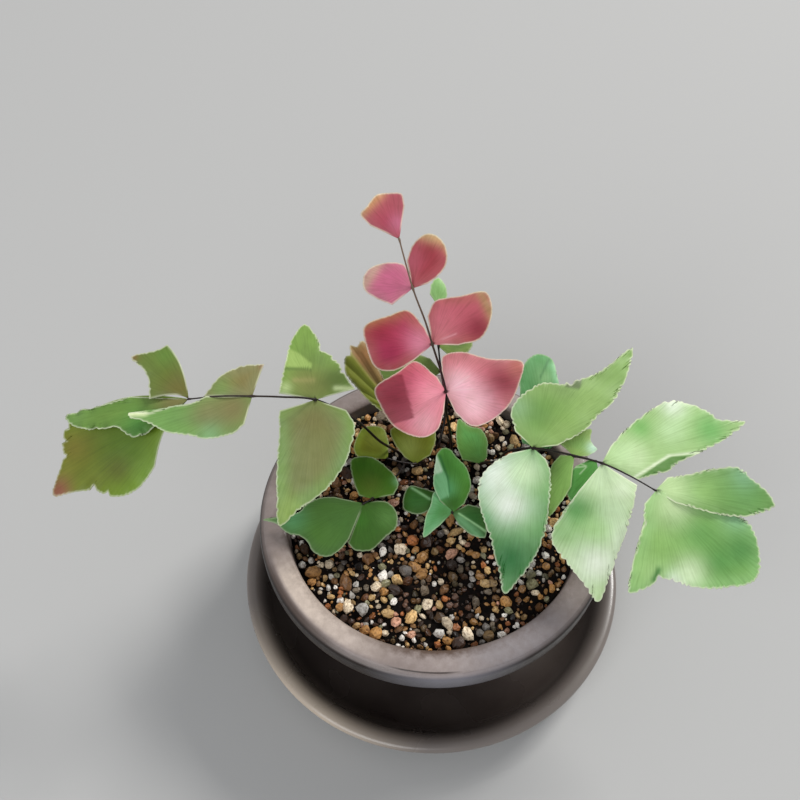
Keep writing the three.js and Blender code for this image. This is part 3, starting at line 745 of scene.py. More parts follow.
def make_stones(name, stones, shape, share, random, material):
    """Unit balls, flattened where random planes cut them, scaled, turned and set on the soil.

    A point p of the ball moves to p min(1, c / (p.n)) for each plane with normal n at distance c, which
    leaves a flat facet. All stones are done at once: axis 0 counts stones, axis 1 points.
    """
    corners, triangles = shape
    count = len(stones)
    points = np.broadcast_to(corners, (count, *corners.shape)).copy()
    for _ in range(STONE_FACETS):
        normal = random.normal(size=(count, 1, 3))
        normal /= np.linalg.norm(normal, axis=-1, keepdims=True)
        cut = random.uniform(0.5, 0.9, (count, 1))
        facing = (points * normal).sum(-1)
        points *= np.where(facing > cut, cut / np.maximum(facing, 1e-6), 1)[..., None]
    points *= random.uniform(SMALLEST_STRETCH, LARGEST_STRETCH, (count, 3))[:, None, :]
    points = np.einsum("nij,nkj->nki", random_turns(count, random), points) * stones[:, 2][:, None, None]
    height = soil_height(stones[:, 0], stones[:, 1]) + stones[:, 2] * (1 - 2 * STONE_SINK)
    points += np.column_stack([stones[:, :2], height])[:, None, :]
    faces = (triangles[None] + (np.arange(count) * len(corners))[:, None, None]).reshape(-1, 3)
    colours = np.repeat(stone_tints(stones, share, random), len(corners), axis=0)
    made = piece(name, points.reshape(-1, 3), faces, material, ["soil"], colours=colours)
    made.data.shade_flat()


print("stone kinds", len(STONE_KINDS))

# %% [markdown]
# ## The fronds
# Each frond grows on one wiry, near-black stalk. Its route is a short list of points that a smooth line
# runs through, from the soil to the last leaflet. A leaflet starts at one of these points ("at"), and its
# table says which way it aims, how it is pitched and rolled, how far its end droops, and its rim, as
# angles off its aim with distances from its foot. The solid model has the same routes and directions,
# and a few rims have more points here. The rest is finer than the solid:
#
# - The frond's "slot" is its kind of colour. Its "teeth" have a depth and a pitch, "edge" is how pale its
#   margins are, and "ticks" how dark the cuts between its teeth are.
# - "blade" and "heart" are the leaflet's colours at its margin and further in, past its "inset".
# - "spots" are soft: an angle, a distance, a size, a colour and a strength. "bands" are soft lines from
#   one such place to another. "patches" have clear edges: the corners of a convex shape, anticlockwise.
# - "notches" are deeper cuts, "creases" are folds, "pleats" fold the blade like a fan, "bend" moves the
#   middle of the fan aside, and "frill" makes the margin wavier.
# - Some pale spots, bands and patches are painted sheen and light, and some dark bands and patches are
#   painted shade, as the fronds and leaflets below note.

# %% Table of the left frond
LEFT_FROND = {
    "name": "left_frond", "edge": 0.8, "slot": "green_leaf", "teeth": (0.45, 1.8),
    "route": [(-10.5, 20.5, 49), (-16.5, 15.5, 64), (-23, 12.5, 79), (-33.5, 11.5, 90), (-42.5, 9.5, 94),
              (-50, 9, 95), (-58.5, 9, 95), (-67.5, 9.5, 93)],
    "leaflets": [
        {"at": 3, "aim": -93, "pitch": -30, "roll": 1, "droop": 4,
         "rim": [(-71, 10.3), (-63, 11.2), (-48, 13), (-33, 18.2), (-21, 27), (-14, 36), (-6, 30.5),
                 (12, 24), (27, 19.5), (42, 16), (60, 13), (74, 9)],
         "blade": "84a45a", "heart": "80894c", "inset": 3.5,
         "spots": [(-12, 32, 5, "98b45a", 0.9), (24, 20, 4, "74a566", 0.6), (8, 17, 6, "84834e", 0.7),
                   (0, 5, 7, "827e48", 0.9)]},
        # The pale patch beside its crease is a painted pool of light, and the dark band along the crease
        # painted shade.
        {"at": 3, "aim": 93, "pitch": 22, "roll": -1, "droop": 3,
         "rim": [(-76, 11.3), (-57, 10.7), (-42, 11.7), (-22, 13.9), (-8, 15.6), (-3, 19), (4, 23.8),
                 (8, 24.8), (22, 19.3), (34, 14.7), (61, 11), (77, 10.3)],
         "blade": "7ea04c", "heart": "78964a", "inset": 3,
         "spots": [(20, 5, 6, "858a4e", 0.95), (-20, 4, 4, "7c8548", 0.8), (-44, 8.5, 4, "60743a", 0.8),
                   (-6, 12, 4, "6c8844", 0.7), (66, 9, 1.8, "c4d898", 0.7)],
         "bands": [(-62, 6.5, -75, 10.8, 0.8, "cfe0a6", 0.95), (43, 8.1, 5, 5.6, 0.8, "a8a068", 0.5),
                   (42, 13, 6, 9.2, 0.5, "55703a", 0.6)],
         "patches": [([(42, 14), (6, 9.5), (4, 10.5), (11, 12.6), (18, 15.4), (29, 20)], "a2be6a", 0.9)],
         "notches": [(-8, 0.8, 2.5), (-24, 0.8, 3), (-44, 0.8, 4)],
         "creases": [(44, 12.2, -28, 8.9, 0.28)]},
        {"at": 5, "aim": 138, "pitch": 17, "roll": -18, "droop": 1.5,
         "rim": [(-63, 9.5), (-40, 9), (-18, 9.5), (9, 10.5), (31, 12), (44, 13.4)],
         "blade": "8c895c", "heart": "8c804f", "inset": 2.6,
         "spots": [(30, 9, 3.5, "7f9c55", 0.8), (-64, 9, 1.5, "8a5c40", 0.85)]},
        {"at": 5, "aim": -163, "pitch": -7.5, "roll": -18, "droop": -0.5,
         "rim": [(-19, 12.5), (-11.5, 17), (-11.5, 22), (-9.5, 27.5), (-10.5, 33.5), (-8, 33), (-5.5, 30.2),
                 (-1, 27.3), (5, 24.8), (17, 19.2), (26, 16.8), (36, 14), (50, 10.9), (59, 8)],
         "blade": "78a258", "heart": "719757", "inset": 4,
         "spots": [(15, 6, 7, "867d52", 0.95), (2, 13, 4.5, "857f56", 0.7), (26, 15, 3, "84b080", 0.6)],
         "bands": [(-9, 29, -10, 34, 0.8, "e4f0bc", 0.9)]},
        {"at": 7, "aim": 141, "pitch": 19, "roll": -16, "droop": 2,
         "rim": [(-24, 17), (-14, 17), (-6, 18), (7, 20.5), (10, 15), (18, 12.5), (30, 11.2), (43, 10.6)],
         "blade": "687a39", "heart": "677a35", "inset": 3, "bend": -1.6,
         "spots": [(0, 4, 5, "716a30", 0.9), (6, 20, 1.8, "805c3c", 0.8), (-18, 14.5, 3, "688c3c", 0.7)]},
        {"at": 7, "aim": -169, "pitch": -8, "roll": -9, "droop": 4, "frill": 4,
         "rim": [(-19, 16), (-13, 26), (-10, 36.5), (-3, 33), (5, 24), (7, 21), (19, 18.6), (26, 16.4),
                 (30, 12.5)],
         "blade": "6a8e41", "heart": "729445", "inset": 3,
         "spots": [(0, 4, 6.5, "80774b", 0.9), (14, 15, 5, "4f8a40", 0.8), (-8, 33, 4, "7ca05a", 0.6)]},
        {"at": 7, "aim": -155, "pitch": -24, "roll": -22, "droop": 3,
         "rim": [(-30, 26), (-24, 36), (-17, 39.5), (-11, 40.8), (-6, 44), (0, 48.5), (4, 42), (9, 37.3),
                 (17, 34.5), (24, 30.8), (28, 26), (29.5, 20.5)],
         "blade": "7c9a26", "heart": "657c10", "inset": 5, "bend": -2.2,
         "spots": [(4, 22, 9, "587a04", 0.9), (-12, 37, 7, "807329", 0.85), (0, 46, 5, "98584a", 0.95),
                   (6, 36, 5, "737628", 0.7), (27, 24, 5, "7ea138", 0.9), (10, 28, 4, "6a6a20", 0.6)],
         "notches": [(9, 1.6, 1.3), (15, 1.3, 1.3), (-17, 1.3, 1.2), (-11, 1.1, 1.1), (-22, 1.2, 1.2)]},
    ],
}
print(LEFT_FROND["name"], len(LEFT_FROND["leaflets"]), "leaflets")

# %% Table of the pink frond
# On this frond the pale pink spots and bands near the leaflets' feet are painted sheen.
PINK_FROND = {
    "name": "pink_frond", "edge": 0.75, "slot": "pink_leaf", "teeth": (0.12, 1.6),
    "route": [(6, 22.5, 49), (5, 23, 59), (3.5, 22.5, 70), (3, 22.5, 79), (1.5, 22, 88), (-1.5, 22, 101),
              (-3.5, 23, 109), (-7, 25, 120), (-10.5, 30.5, 132)],
    "leaflets": [
        {"at": 3, "aim": -166, "pitch": 3, "roll": -32, "droop": 2.5,
         "rim": [(-71, 5), (-56, 12.5), (-33, 15), (-13, 20.5), (1, 19.5), (24, 18), (52, 15), (67, 11.5),
                 (74, 6)],
         "blade": "d66c7a", "heart": "dc6480", "inset": 2.5,
         "spots": [(-30, 12.5, 3.5, "a83a50", 0.5), (-4, 14.5, 5, "94263e", 0.85),
                   (0, 4, 5.5, "f49aac", 0.95), (46, 11, 5, "f0b0bc", 0.8)],
         "patches": [([(-32, 13.7), (-18, 22), (6, 22), (21, 18.5), (29, 12)], "7a1a2a", 0.66)],
         "bands": [(-58, 12.2, -76, 4.8, 0.35, "6e3a34", 0.85)]},
        {"at": 3, "aim": 6, "pitch": 13, "roll": 30, "droop": 2.5,
         "rim": [(-78, 6.5), (-65, 12.5), (-49, 15), (-25, 18.5), (-4, 21.5), (10, 24), (26, 16), (59, 12.5),
                 (83, 10.5), (89, 6)],
         "blade": "d07e85", "heart": "df7f8b", "inset": 3,
         "spots": [(-2, 17, 6.5, "8a3240", 1), (9, 22.5, 3.5, "b86c60", 0.8), (26, 4.6, 4.5, "fac4ce", 0.95),
                   (-15, 6, 4, "f8bccc", 0.7), (-40, 9.6, 5.4, "f8c4d0", 0.9), (-34, 15.5, 3, "de90a4", 0.5)],
         "bands": [(-2, 2.5, -6, 8, 0.3, "f6d2d8", 0.35), (16, 2.5, 22, 8, 0.3, "f6d2d8", 0.35)],
         "creases": [(40, 12, -20, 15, 0.22)]},
        {"at": 5, "aim": 38, "pitch": 29, "roll": 20, "droop": 2,
         "rim": [(-48, 7), (-39, 13), (-25, 16.5), (-11, 19.5), (0, 20.5), (14, 15.5), (41, 12), (54, 8)],
         "blade": "b15f5e", "heart": "b95966", "inset": 2.5,
         "spots": [(-26, 13, 4, "8a2c3c", 0.95), (27, 7, 5, "d0707f", 0.8), (-15, 3, 3, "d47c86", 0.7)],
         "bands": [(6, 20, -22, 18, 1.5, "a8865e", 0.8), (26, 14.8, 10, 17.6, 0.7, "b88a6c", 0.5),
                   (-18, 3, -22, 7, 0.3, "e8a8b4", 0.4)],
         "creases": [(-8, 11, -36, 9, 0.3)]},
        {"at": 5, "aim": 177, "pitch": 12, "roll": -33, "droop": 2,
         "rim": [(-57, 5), (-45, 11.5), (-26, 14), (-6, 19), (11, 18), (32, 16.5), (44, 12.5), (50, 6.5)],
         "blade": "b25a58", "heart": "b53a5a", "inset": 3,
         "spots": [(-6, 14.7, 5, "942a3a", 0.85), (4, 3.5, 4.4, "dc86a0", 0.85),
                   (22, 12, 4.5, "9c2448", 0.85)],
         "bands": [(-8, 19, -34, 13.6, 1.8, "a86a4c", 0.9)]},
        {"at": 7, "aim": 61, "pitch": 35, "roll": 5, "droop": 1.5,
         "rim": [(-50, 4), (-42, 7), (-31, 10.5), (-15, 13.5), (0, 15), (12, 14.5), (25, 11.5), (37, 7.5)],
         "blade": "ae525a", "heart": "9c3841", "inset": 2.5,
         "spots": [(28, 7, 3.5, "bd5c70", 0.7)],
         "bands": [(14, 14.6, -8, 14.8, 1.9, "c9a478", 0.95), (-20, 13, -8, 14.8, 1.1, "bd8a66", 0.8)]},
        {"at": 7, "aim": 174, "pitch": 17, "roll": -31, "droop": 1.5,
         "rim": [(-68, 3), (-56, 6.5), (-34, 9), (-12, 12), (3, 13), (17, 12.5), (30, 10), (54, 7)],
         "blade": "c8728c", "heart": "c8688a", "inset": 2,
         "bands": [(14, 13, -22, 11, 1.6, "c8a294", 0.9)]},
        {"at": 8, "aim": 126, "pitch": 37, "roll": -16, "droop": 1.2,
         "rim": [(-38, 8.5), (-32, 11.5), (-18, 12), (-1, 12.5), (17, 11.5), (29, 11.5), (37, 8)],
         "blade": "b15863", "heart": "af535f", "inset": 2,
         "spots": [(8, 5, 2.6, "a83c50", 0.8), (-24, 4, 2.5, "c8708c", 0.8)],
         "bands": [(30, 11.6, -6, 12.4, 1.6, "c59066", 0.95)]},
    ],
}
print(PINK_FROND["name"], len(PINK_FROND["leaflets"]), "leaflets")

# %% Table of the right frond
# On this frond the near-white spots are painted sheen.
RIGHT_FROND = {
    "name": "right_frond", "edge": 0.9, "slot": "green_leaf", "teeth": (0.7, 2.4), "ticks": 0.35,
    "route": [(18, 11.5, 49), (18.5, 10.5, 58), (21, 9.5, 67), (27.5, 5.5, 75), (34, 1.5, 79), (44.5, -4, 82),
              (51, -8.5, 83), (58, -12, 81)],
    "leaflets": [
        {"at": 3, "aim": 49, "pitch": 17, "roll": 14, "droop": 4,
         "rim": [(-44, 7), (-33, 15), (-24, 22), (-19, 30), (-6, 44), (-2, 31), (12, 22), (31, 19.5),
                 (50, 16), (68, 12.5), (85, 7)],
         "blade": "8bac66", "heart": "80a655", "inset": 4,
         "spots": [(30, 10, 6, "719c54", 0.8), (-12, 22, 6, "9cbc72", 0.8), (-20, 10, 5, "9abb6c", 0.7),
                   (-8, 38, 5, "8cb262", 0.7), (11, 20, 3.5, "83a062", 0.6), (60, 13, 4, "9abf92", 0.7)],
         "patches": [([(0, 22.5), (3, 26.2), (12, 24.2), (10, 20.6)], "667650", 0.9)],
         "notches": [(9, 1.2, 1.6)]},
        {"at": 3, "aim": -108, "pitch": -26, "roll": -4, "droop": 4,
         "rim": [(-63, 7), (-55, 12.5), (-44, 18), (-29, 22), (-12, 27.5), (-2, 34.5), (4, 41.5), (9, 37),
                 (16, 30.5), (24, 23), (33, 15), (50, 9), (64, 4.5)],
         "blade": "7cb170", "heart": "90c484", "inset": 3,
         "spots": [(-38, 12.6, 6.5, "f0fbee", 1), (-8, 17.4, 5.6, "f4fcee", 1), (-20, 25, 3, "62a868", 0.8),
                   (3, 32, 9, "247030", 1), (24, 10, 4, "74a85e", 0.85), (-2, 7, 5, "d8f2c4", 0.95)],
         "creases": [(22, 26, 48, 3, 0.1)]},
        # The pale bands are a painted highlight along a fold where the margin curls under, and the dark patch
        # beyond them is painted shade on that margin.
        {"at": 5, "aim": 21, "pitch": 6, "roll": 21, "droop": 4,
         "rim": [(-47, 10.5), (-33, 15.4), (-27, 18.9), (-21, 21.4), (-14, 29.5), (-9, 38), (-5, 44.5),
                 (-1, 38), (8, 33.5), (20, 27.5), (26, 19.5), (32, 12), (39, 5.5)],
         "blade": "a6c886", "heart": "a6ca86", "inset": 3,
         "spots": [(20, 15, 3.5, "74b25a", 0.9), (-4, 33, 5, "74b262", 0.95), (4, 22, 4, "c6e6b0", 0.85),
                   (17, 27, 3.5, "eaf7e2", 0.9), (-12, 9, 4.5, "d6ecbc", 0.85), (4, 6, 4, "c8e8ac", 0.8)],
         "bands": [(-44, 9.6, -23, 14.4, 0.4, "eaf6d8", 0.9), (-23, 14.4, -14.5, 19, 0.4, "eaf6d8", 0.9),
                   (-14.5, 19, -14.5, 28, 0.4, "eaf6d8", 0.7)],
         "patches": [([(-47, 11.9), (-27, 20.5), (-16, 28.2), (-15.5, 19.4), (-24, 14.7), (-45, 10.6)],
                      "5f8a46", 0.95)]},
        {"at": 5, "aim": -100, "pitch": -30, "roll": 3, "droop": 4,
         "rim": [(-32, 10), (-29, 22), (-23, 26), (-11, 29), (-2, 32.5), (6, 37.5), (12, 30), (21, 22.5),
                 (34, 17), (66, 11)],
         "blade": "c4e0aa", "heart": "a8d088", "inset": 3,
         "spots": [(41, 8.6, 4.5, "eaf8da", 0.9), (18, 14, 5, "d6eec4", 0.85),
                   (-21, 14.4, 5.5, "58984a", 0.95), (-24, 22, 3.5, "84b66c", 0.7),
                   (26, 21, 4.5, "e8f6dc", 0.9), (5, 27, 6, "f0fae4", 1), (4, 5, 4.5, "dcf4c8", 0.9),
                   (8, 35, 3.5, "c6e2a6", 0.8), (2, 18, 4, "a4cf88", 0.6)]},
        {"at": 7, "aim": 0, "pitch": 0, "roll": 18, "droop": 3,
         "rim": [(-34, 6), (-25, 12.5), (-18, 22.5), (-12, 28.5), (-6, 33), (7, 28), (16, 24.5), (21, 18),
                 (26, 11), (46, 5)],
         "blade": "739c58", "heart": "7aa75e", "inset": 3,
         "spots": [(6, 4, 6, "cde8ae", 0.9), (-4, 25, 6, "649850", 0.85), (10, 25, 4, "86b690", 0.7),
                   (0, 13, 4, "a0ca78", 0.5)]},
        # The dark band by its notch is painted shade in a fold.
        {"at": 7, "aim": -62, "pitch": -25, "roll": 13, "droop": 4,
         "rim": [(-70, 5), (-50, 11), (-46, 18), (-42, 28), (-32, 26), (-22, 23.5), (-6, 27), (12, 32.5),
                 (25, 36), (34, 33), (46, 27), (49, 22)],
         "blade": "98c67c", "heart": "8dba66", "inset": 3,
         "spots": [(20, 16, 6, "6aa456", 0.8), (16, 25, 5, "5c9a4e", 0.8), (46, 23, 4.5, "8cbc94", 0.8),
                   (-14, 24.5, 2.8, "ecf8e8", 1), (-4, 23.5, 4.5, "daf0c4", 0.95),
                   (-38, 20, 6, "9cc67c", 0.8), (10, 6, 6, "b8d89c", 0.85), (34, 6, 4, "cce2b0", 0.85),
                   (30, 28, 6, "5a9652", 0.85), (-28, 22, 3.5, "a6c886", 0.6)],
         "bands": [(-25, 21, -28, 23.5, 0.9, "3f7838", 0.85), (-50, 8, -46, 13, 0.4, "c2e4a0", 0.6)],
         "notches": [(-24, 1.4, 2.2), (-52, 1.2, 3)],
         "creases": [(-23, 25, -14, 12, -0.25)]},
    ],
}
print(RIGHT_FROND["name"], len(RIGHT_FROND["leaflets"]), "leaflets")

# %% Tables of the fronds at the back
BACK_FROND = {
    "name": "back_frond", "edge": 0.5, "slot": "green_leaf", "teeth": (0.25, 1.7),
    "route": [(2, 24, 49), (3.5, 28.5, 54), (4, 33, 60), (2.5, 38.5, 68), (1.5, 43, 75), (1, 52, 84)],
    "leaflets": [
        {"at": 3, "aim": 180, "pitch": 4, "roll": -25, "droop": 1.2,
         "rim": [(-50, 5.5), (-30, 13), (-13, 18), (0, 21), (11, 20.5), (22, 16.5), (36, 8)],
         "blade": "7e9a50", "heart": "6f8c44", "inset": 3},
        {"at": 4, "aim": 16, "pitch": 12, "roll": 22, "droop": 1.2,
         "rim": [(-63, 5), (-32, 9), (-16, 10.5), (8, 10.5), (38, 9.5), (65, 5.5)],
         "blade": "8aa458", "heart": "74924c", "inset": 2},
        {"at": 5, "aim": 83, "pitch": 25, "roll": 3, "droop": 1,
         "rim": [(-60, 3), (-38, 4.5), (-11, 7.5), (4, 9), (21, 7), (40, 4)],
         "blade": "96c47c", "heart": "88b86c", "inset": 2},
    ],
}

FOLDED_FROND = {
    "name": "folded_frond", "edge": 0.5, "slot": "olive_leaf", "teeth": (0.4, 1.8),
    "route": [(-4, 31, 49), (-7, 29, 58), (-12, 23, 69)],
    "leaflets": [
        {"at": 2, "aim": 134, "pitch": 39, "roll": -9, "droop": 1, "pleats": 0.7,
         "rim": [(-34, 4.5), (-16, 10), (-13, 17), (-12, 22), (-8, 23.2), (-4, 22.4), (0, 23.8), (5, 21.6),
                 (9, 22), (15, 20.2), (20, 18.4), (26, 13), (38, 8), (56, 4.4)],
         "blade": "92784c", "heart": "7c643c", "inset": 1.6,
         "spots": [(-6, 19, 3, "a5774f", 0.8), (30, 6, 4, "8c9c3c", 0.8)],
         "bands": [(4, 6, 4, 22, 0.4, "a6a85a", 0.6), (11, 8, 10, 20, 0.3, "5c5f24", 0.5),
                   (-4, 8, -4, 20, 0.3, "6a4c2a", 0.6)],
         "patches": [([(-175, 30), (5, 30), (95, 40)], "7e8a34", 0.9)]},
    ],
}

OLIVE_FROND = {
    "name": "olive_frond", "edge": 0.25, "slot": "olive_leaf", "teeth": (0.2, 1.7),
    "route": [(-3, 17.5, 49), (-5.5, 15, 52), (-10.5, 14.5, 54), (-14, 15, 55)],
    "leaflets": [
        {"at": 1, "aim": 95, "pitch": 14, "roll": -1, "droop": 1,
         "rim": [(-63, 5.5), (-43, 10.5), (-28, 14), (-4, 13.5), (15, 14), (29, 14), (39, 9.5), (53, 4)],
         "blade": "68721e", "heart": "5a5f0e", "inset": 2, "spots": [(25, 6, 4, "7f8c46", 0.7)]},
        {"at": 3, "aim": 132, "pitch": 7, "roll": -7, "droop": 1,
         "rim": [(-44, 5.5), (-35, 10), (-23, 12), (-8, 13.5), (9, 12.5), (32, 11), (45, 9), (50, 4)],
         "blade": "738329", "heart": "616816", "inset": 2, "spots": [(-30, 8, 3.5, "849040", 0.7)]},
    ],
}
for frond in (BACK_FROND, FOLDED_FROND, OLIVE_FROND):
    print(frond["name"], len(frond["leaflets"]), "leaflets")

# %% Tables of the low fronds
LOW_LEFT_FROND = {
    "name": "low_left_frond", "edge": 0.32, "slot": "blue_green_leaf", "teeth": (0.22, 1.9),
    "route": [(-8, 18, 49), (-11, 10.5, 53), (-15.5, 3, 57), (-18.5, -1, 58), (-21, -2, 57)],
    "leaflets": [
        {"at": 3, "aim": 86, "pitch": 16, "roll": 1, "droop": 1.2,
         "rim": [(-75, 6.5), (-56, 9), (-26, 10.5), (5, 13), (31, 14), (49, 8), (80, 4)],
         "blade": "3e6912", "heart": "34640c", "inset": 2,
         "spots": [(12, 4, 4.5, "56691f", 0.7), (-50, 9.5, 1.6, "74a878", 0.6)]},
        {"at": 4, "aim": -154, "pitch": -5, "roll": -11, "droop": 2,
         "rim": [(-40, 9), (-33, 14), (-25, 17.2), (-19.5, 19), (-18.3, 24), (-18, 30), (-13.5, 26),
                 (-8, 24.6), (-4, 23.4), (1, 21), (9, 19.8), (18, 20.3), (30, 19.1), (38, 15.4), (43, 11.5)],
         "blade": "486c32", "heart": "4b7230", "inset": 2,
         "spots": [(17, 8, 6, "487034", 0.7), (-14, 21, 4, "569060", 0.8), (-18, 29, 4, "6f8f5c", 0.8)]},
        {"at": 4, "aim": -61, "pitch": -11, "roll": 6, "droop": 1,
         "rim": [(-49, 12.5), (-38, 14), (-20, 14), (3, 12), (25, 12), (47, 10), (66, 7), (75, 4)],
         "blade": "3a5e1f", "heart": "375f1c", "inset": 2,
         "spots": [(30, 8, 3.5, "517a3a", 0.8), (-48, 5, 3, "3a7020", 0.8)]},
    ],
}

MIDDLE_FROND = {
    "name": "middle_frond", "edge": 0.36, "slot": "blue_green_leaf", "teeth": (0.18, 1.8),
    "route": [(2.5, 16.5, 49), (3, 8, 52), (4, 0.5, 55), (5, -4.5, 56)],
    "leaflets": [
        {"at": 2, "aim": 174, "pitch": -4, "roll": -15, "droop": 1,
         "rim": [(-34, 4), (-24, 8), (-18, 12.5), (-4, 13.5), (15, 13.5), (30, 9.5), (34, 4)],
         "blade": "315c1a", "heart": "316224", "inset": 2,
         "bands": [(-16, 11.6, 2, 5.4, 0.4, "8cbc84", 0.85)], "creases": [(-14, 13, 6, 4, 0.3)]},
        # The palest patch is a painted highlight near the tip of a flap that stands up along the crease, and
        # the dark bands are painted shade along its fold.
        {"at": 3, "aim": 89, "pitch": 25, "roll": 0, "droop": 1.5,
         "rim": [(-54, 4.4), (-36, 9.4), (-17, 14.2), (-4, 16.8), (1, 18.8), (8, 19.6), (15, 18), (18.5, 16),
                 (24, 13.4), (35, 9.6), (46, 5)],
         "blade": "559640", "heart": "458130", "inset": 2,
         "spots": [(-30, 7, 5, "497d26", 0.9), (20, 7, 3.5, "5aa070", 0.8), (0, 2.5, 3, "2e5c10", 0.9)],
         "bands": [(12.5, 17.3, 7.5, 10.4, 0.4, "2a6434", 0.8), (7.5, 10.4, 8, 6, 0.35, "2a6434", 0.6)],
         "patches": [([(11, 5), (9, 10.3), (15, 17.8), (24, 14.5), (38, 10.2), (50, 5.5)], "74b07c", 0.9),
                     ([(13, 12.5), (15, 17.8), (22, 16), (26, 12.5)], "d4ecd2", 0.6)],
         "creases": [(10, 5, 14, 17, 0.4)]},
        {"at": 3, "aim": 179, "pitch": -7, "roll": -13, "droop": 1.5,
         "rim": [(-76, 7), (-53, 8.5), (-25, 7), (5, 8), (20, 9), (37, 11), (43, 5)],
         "blade": "6fab76", "heart": "5b9d61", "inset": 2, "spots": [(0, 2, 3, "447a38", 0.8)]},
        {"at": 3, "aim": -20, "pitch": -8, "roll": 13, "droop": 1,
         "rim": [(-38, 4), (-26, 8.5), (-14, 12), (-1, 11), (28, 9.5), (51, 5.5)],
         "blade": "3c662e", "heart": "34672c", "inset": 2,
         "bands": [(-16, 3, -19, 11, 1.3, "6fa872", 0.9), (14, 2, -7, 11, 0.3, "9ccc92", 0.9)],
         "creases": [(-7, 11, 14, 1, 0.5)]},
    ],
}

LOW_RIGHT_FROND = {
    "name": "low_right_frond", "edge": 0.36, "slot": "blue_green_leaf", "teeth": (0.22, 1.9),
    "route": [(15, 16, 48.5), (15, 16, 50.5), (20, 13.5, 56), (27, 12.5, 61), (33.5, 11.5, 65), (40.5, 8, 67),
              (47, 7, 66)],
    "leaflets": [
        {"at": 1, "aim": 111, "pitch": 11, "roll": -4, "droop": 1,
         "rim": [(-60, 3), (-37, 8), (-22, 12), (-7, 13.5), (2, 17), (12, 14), (31, 9.5), (57, 6)],
         "blade": "689a4a", "heart": "64a858", "inset": 2, "spots": [(20, 6, 4, "6aa048", 0.8)]},
        # The thin dark band is painted shade along a crease.
        {"at": 4, "aim": 96, "pitch": 18, "roll": -2, "droop": 2,
         "rim": [(-59, 5.5), (-42, 9.5), (-24, 16.5), (-16.5, 23), (-11, 30), (-4, 31), (5, 28.6),
                 (13, 24), (22, 17.5), (44, 12), (75, 8)],
         "blade": "609e60", "heart": "5a9458", "inset": 3, "spots": [(-7, 22.5, 3.2, "8cba80", 0.8)],
         "bands": [(-13.5, 27.5, -19, 20, 1.5, "98cf9e", 0.95), (-9.5, 29.5, -2, 22.5, 0.4, "447648", 0.6)],
         "creases": [(-8, 16, -9, 29, -0.35)]},
        {"at": 5, "aim": 58, "pitch": 13, "roll": 8, "droop": 1,
         "rim": [(-57, 4), (-41, 7.4), (-28, 7), (-13, 7.6), (-3, 10.6), (14, 8.4), (50, 6), (76, 5.5)],
         "blade": "98b866", "heart": "94bc6a", "inset": 2, "spots": [(-36, 6.6, 2.2, "cdeedc", 0.95)]},
        {"at": 5, "aim": -125, "pitch": -18, "roll": -8, "droop": 1,
         "rim": [(-64, 4), (-37, 7), (-12, 12), (1, 16.5), (8, 19.5), (15, 14.5), (25, 9)],
         "blade": "88b05e", "heart": "84ae5a", "inset": 2},
        {"at": 6, "aim": -133, "pitch": -17, "roll": -11, "droop": 1,
         "rim": [(-61, 2), (-33, 7), (-12, 11.5), (8, 14), (22, 9), (51, 3.5)],
         "blade": "5f9f50", "heart": "559644", "inset": 2,
         "bands": [(-24, 3.4, -48, 6.2, 0.2, "bcd8ac", 0.75), (-22, 3.6, -33, 6.4, 0.2, "bcd8ac", 0.75),
                   (-18, 3.6, -12, 6.2, 0.2, "bcd8ac", 0.7)]},
    ],
}
FRONDS = [LEFT_FROND, PINK_FROND, RIGHT_FROND, BACK_FROND, FOLDED_FROND, OLIVE_FROND, LOW_LEFT_FROND,
          MIDDLE_FROND, LOW_RIGHT_FROND]
print(sum(len(frond["leaflets"]) for frond in FRONDS), "leaflets on", len(FRONDS), "fronds")

# %% [markdown]
# ## Stones around the stalks
# Now that the stalks' places are known, the stones are thinned out round them and each gets its shape,
# turn and colour. A stone sinks a third of its height into the soil.

# %% Place the stones
STALK_HOLE = 0.9
COARSE_FROM = 0.55


def stone_material():
    """Each stone's own colour, with brown specks."""
    shader = Shader("grit")
    mottle = shader.noise(1500, 4, 0.6)
    spotted = shader.mix(shader.span(mottle, 0.45, 0.65, 0, 0.65), shader.tint(), "6b5238", "MULTIPLY")
    shader.put("Base Color", spotted)
    shader.put("Roughness", 0.45)
    shader.bump(mottle, 0.15 * MM)
    return shader.material


holes = [(*frond["route"][0][:2], STALK_HOLE) for frond in FRONDS]
tries = np.vstack([scatter(count, small, large, soil_seed) for count, small, large in STONE_SIZES])
stones = thin_out(tries, holes)
coarse = stones[:, 2] > COARSE_FROM
grit = stone_material()
make_stones("grit_coarse", stones[coarse], ball(4, 7), COARSE_SHARE, soil_seed, grit)
make_stones("grit_fine", stones[~coarse], ball(2, 5), FINE_SHARE, soil_seed, grit)
print(coarse.sum(), "coarse stones and", (~coarse).sum(), "fine ones")

# %% [markdown]
# ## Stalks
# A stalk is a wire that thins from 1 mm at the soil to 0.4 mm at its last leaflet, with a small knob where
# each leaflet leaves it. It is a circle carried along the route, and it goes on through the leafy part,
# where the solid model has the leaflets' own thin stem. A curve with a round bevel would give the wire,
# and the grid gives the knobs as well. Maidenhair stalks look like polished black horn. Only the youngest
# stretch, high up on the pink frond, is still tan.

# %% Stalk surface
STALK_BOTTOM = 36.3
STALK_RADIUS = 0.5
STALK_TIP_RADIUS = 0.19
STALK_POINT_RADIUS = 0.02
KNOB_HEIGHT = 0.14
KNOB_LENGTH = 0.7
TUBE_SIDES = 12
STALK_SPACING = 0.5
TIP_LENGTH = 0.6
YOUNG_FROM = 92
YOUNG_TO = 124


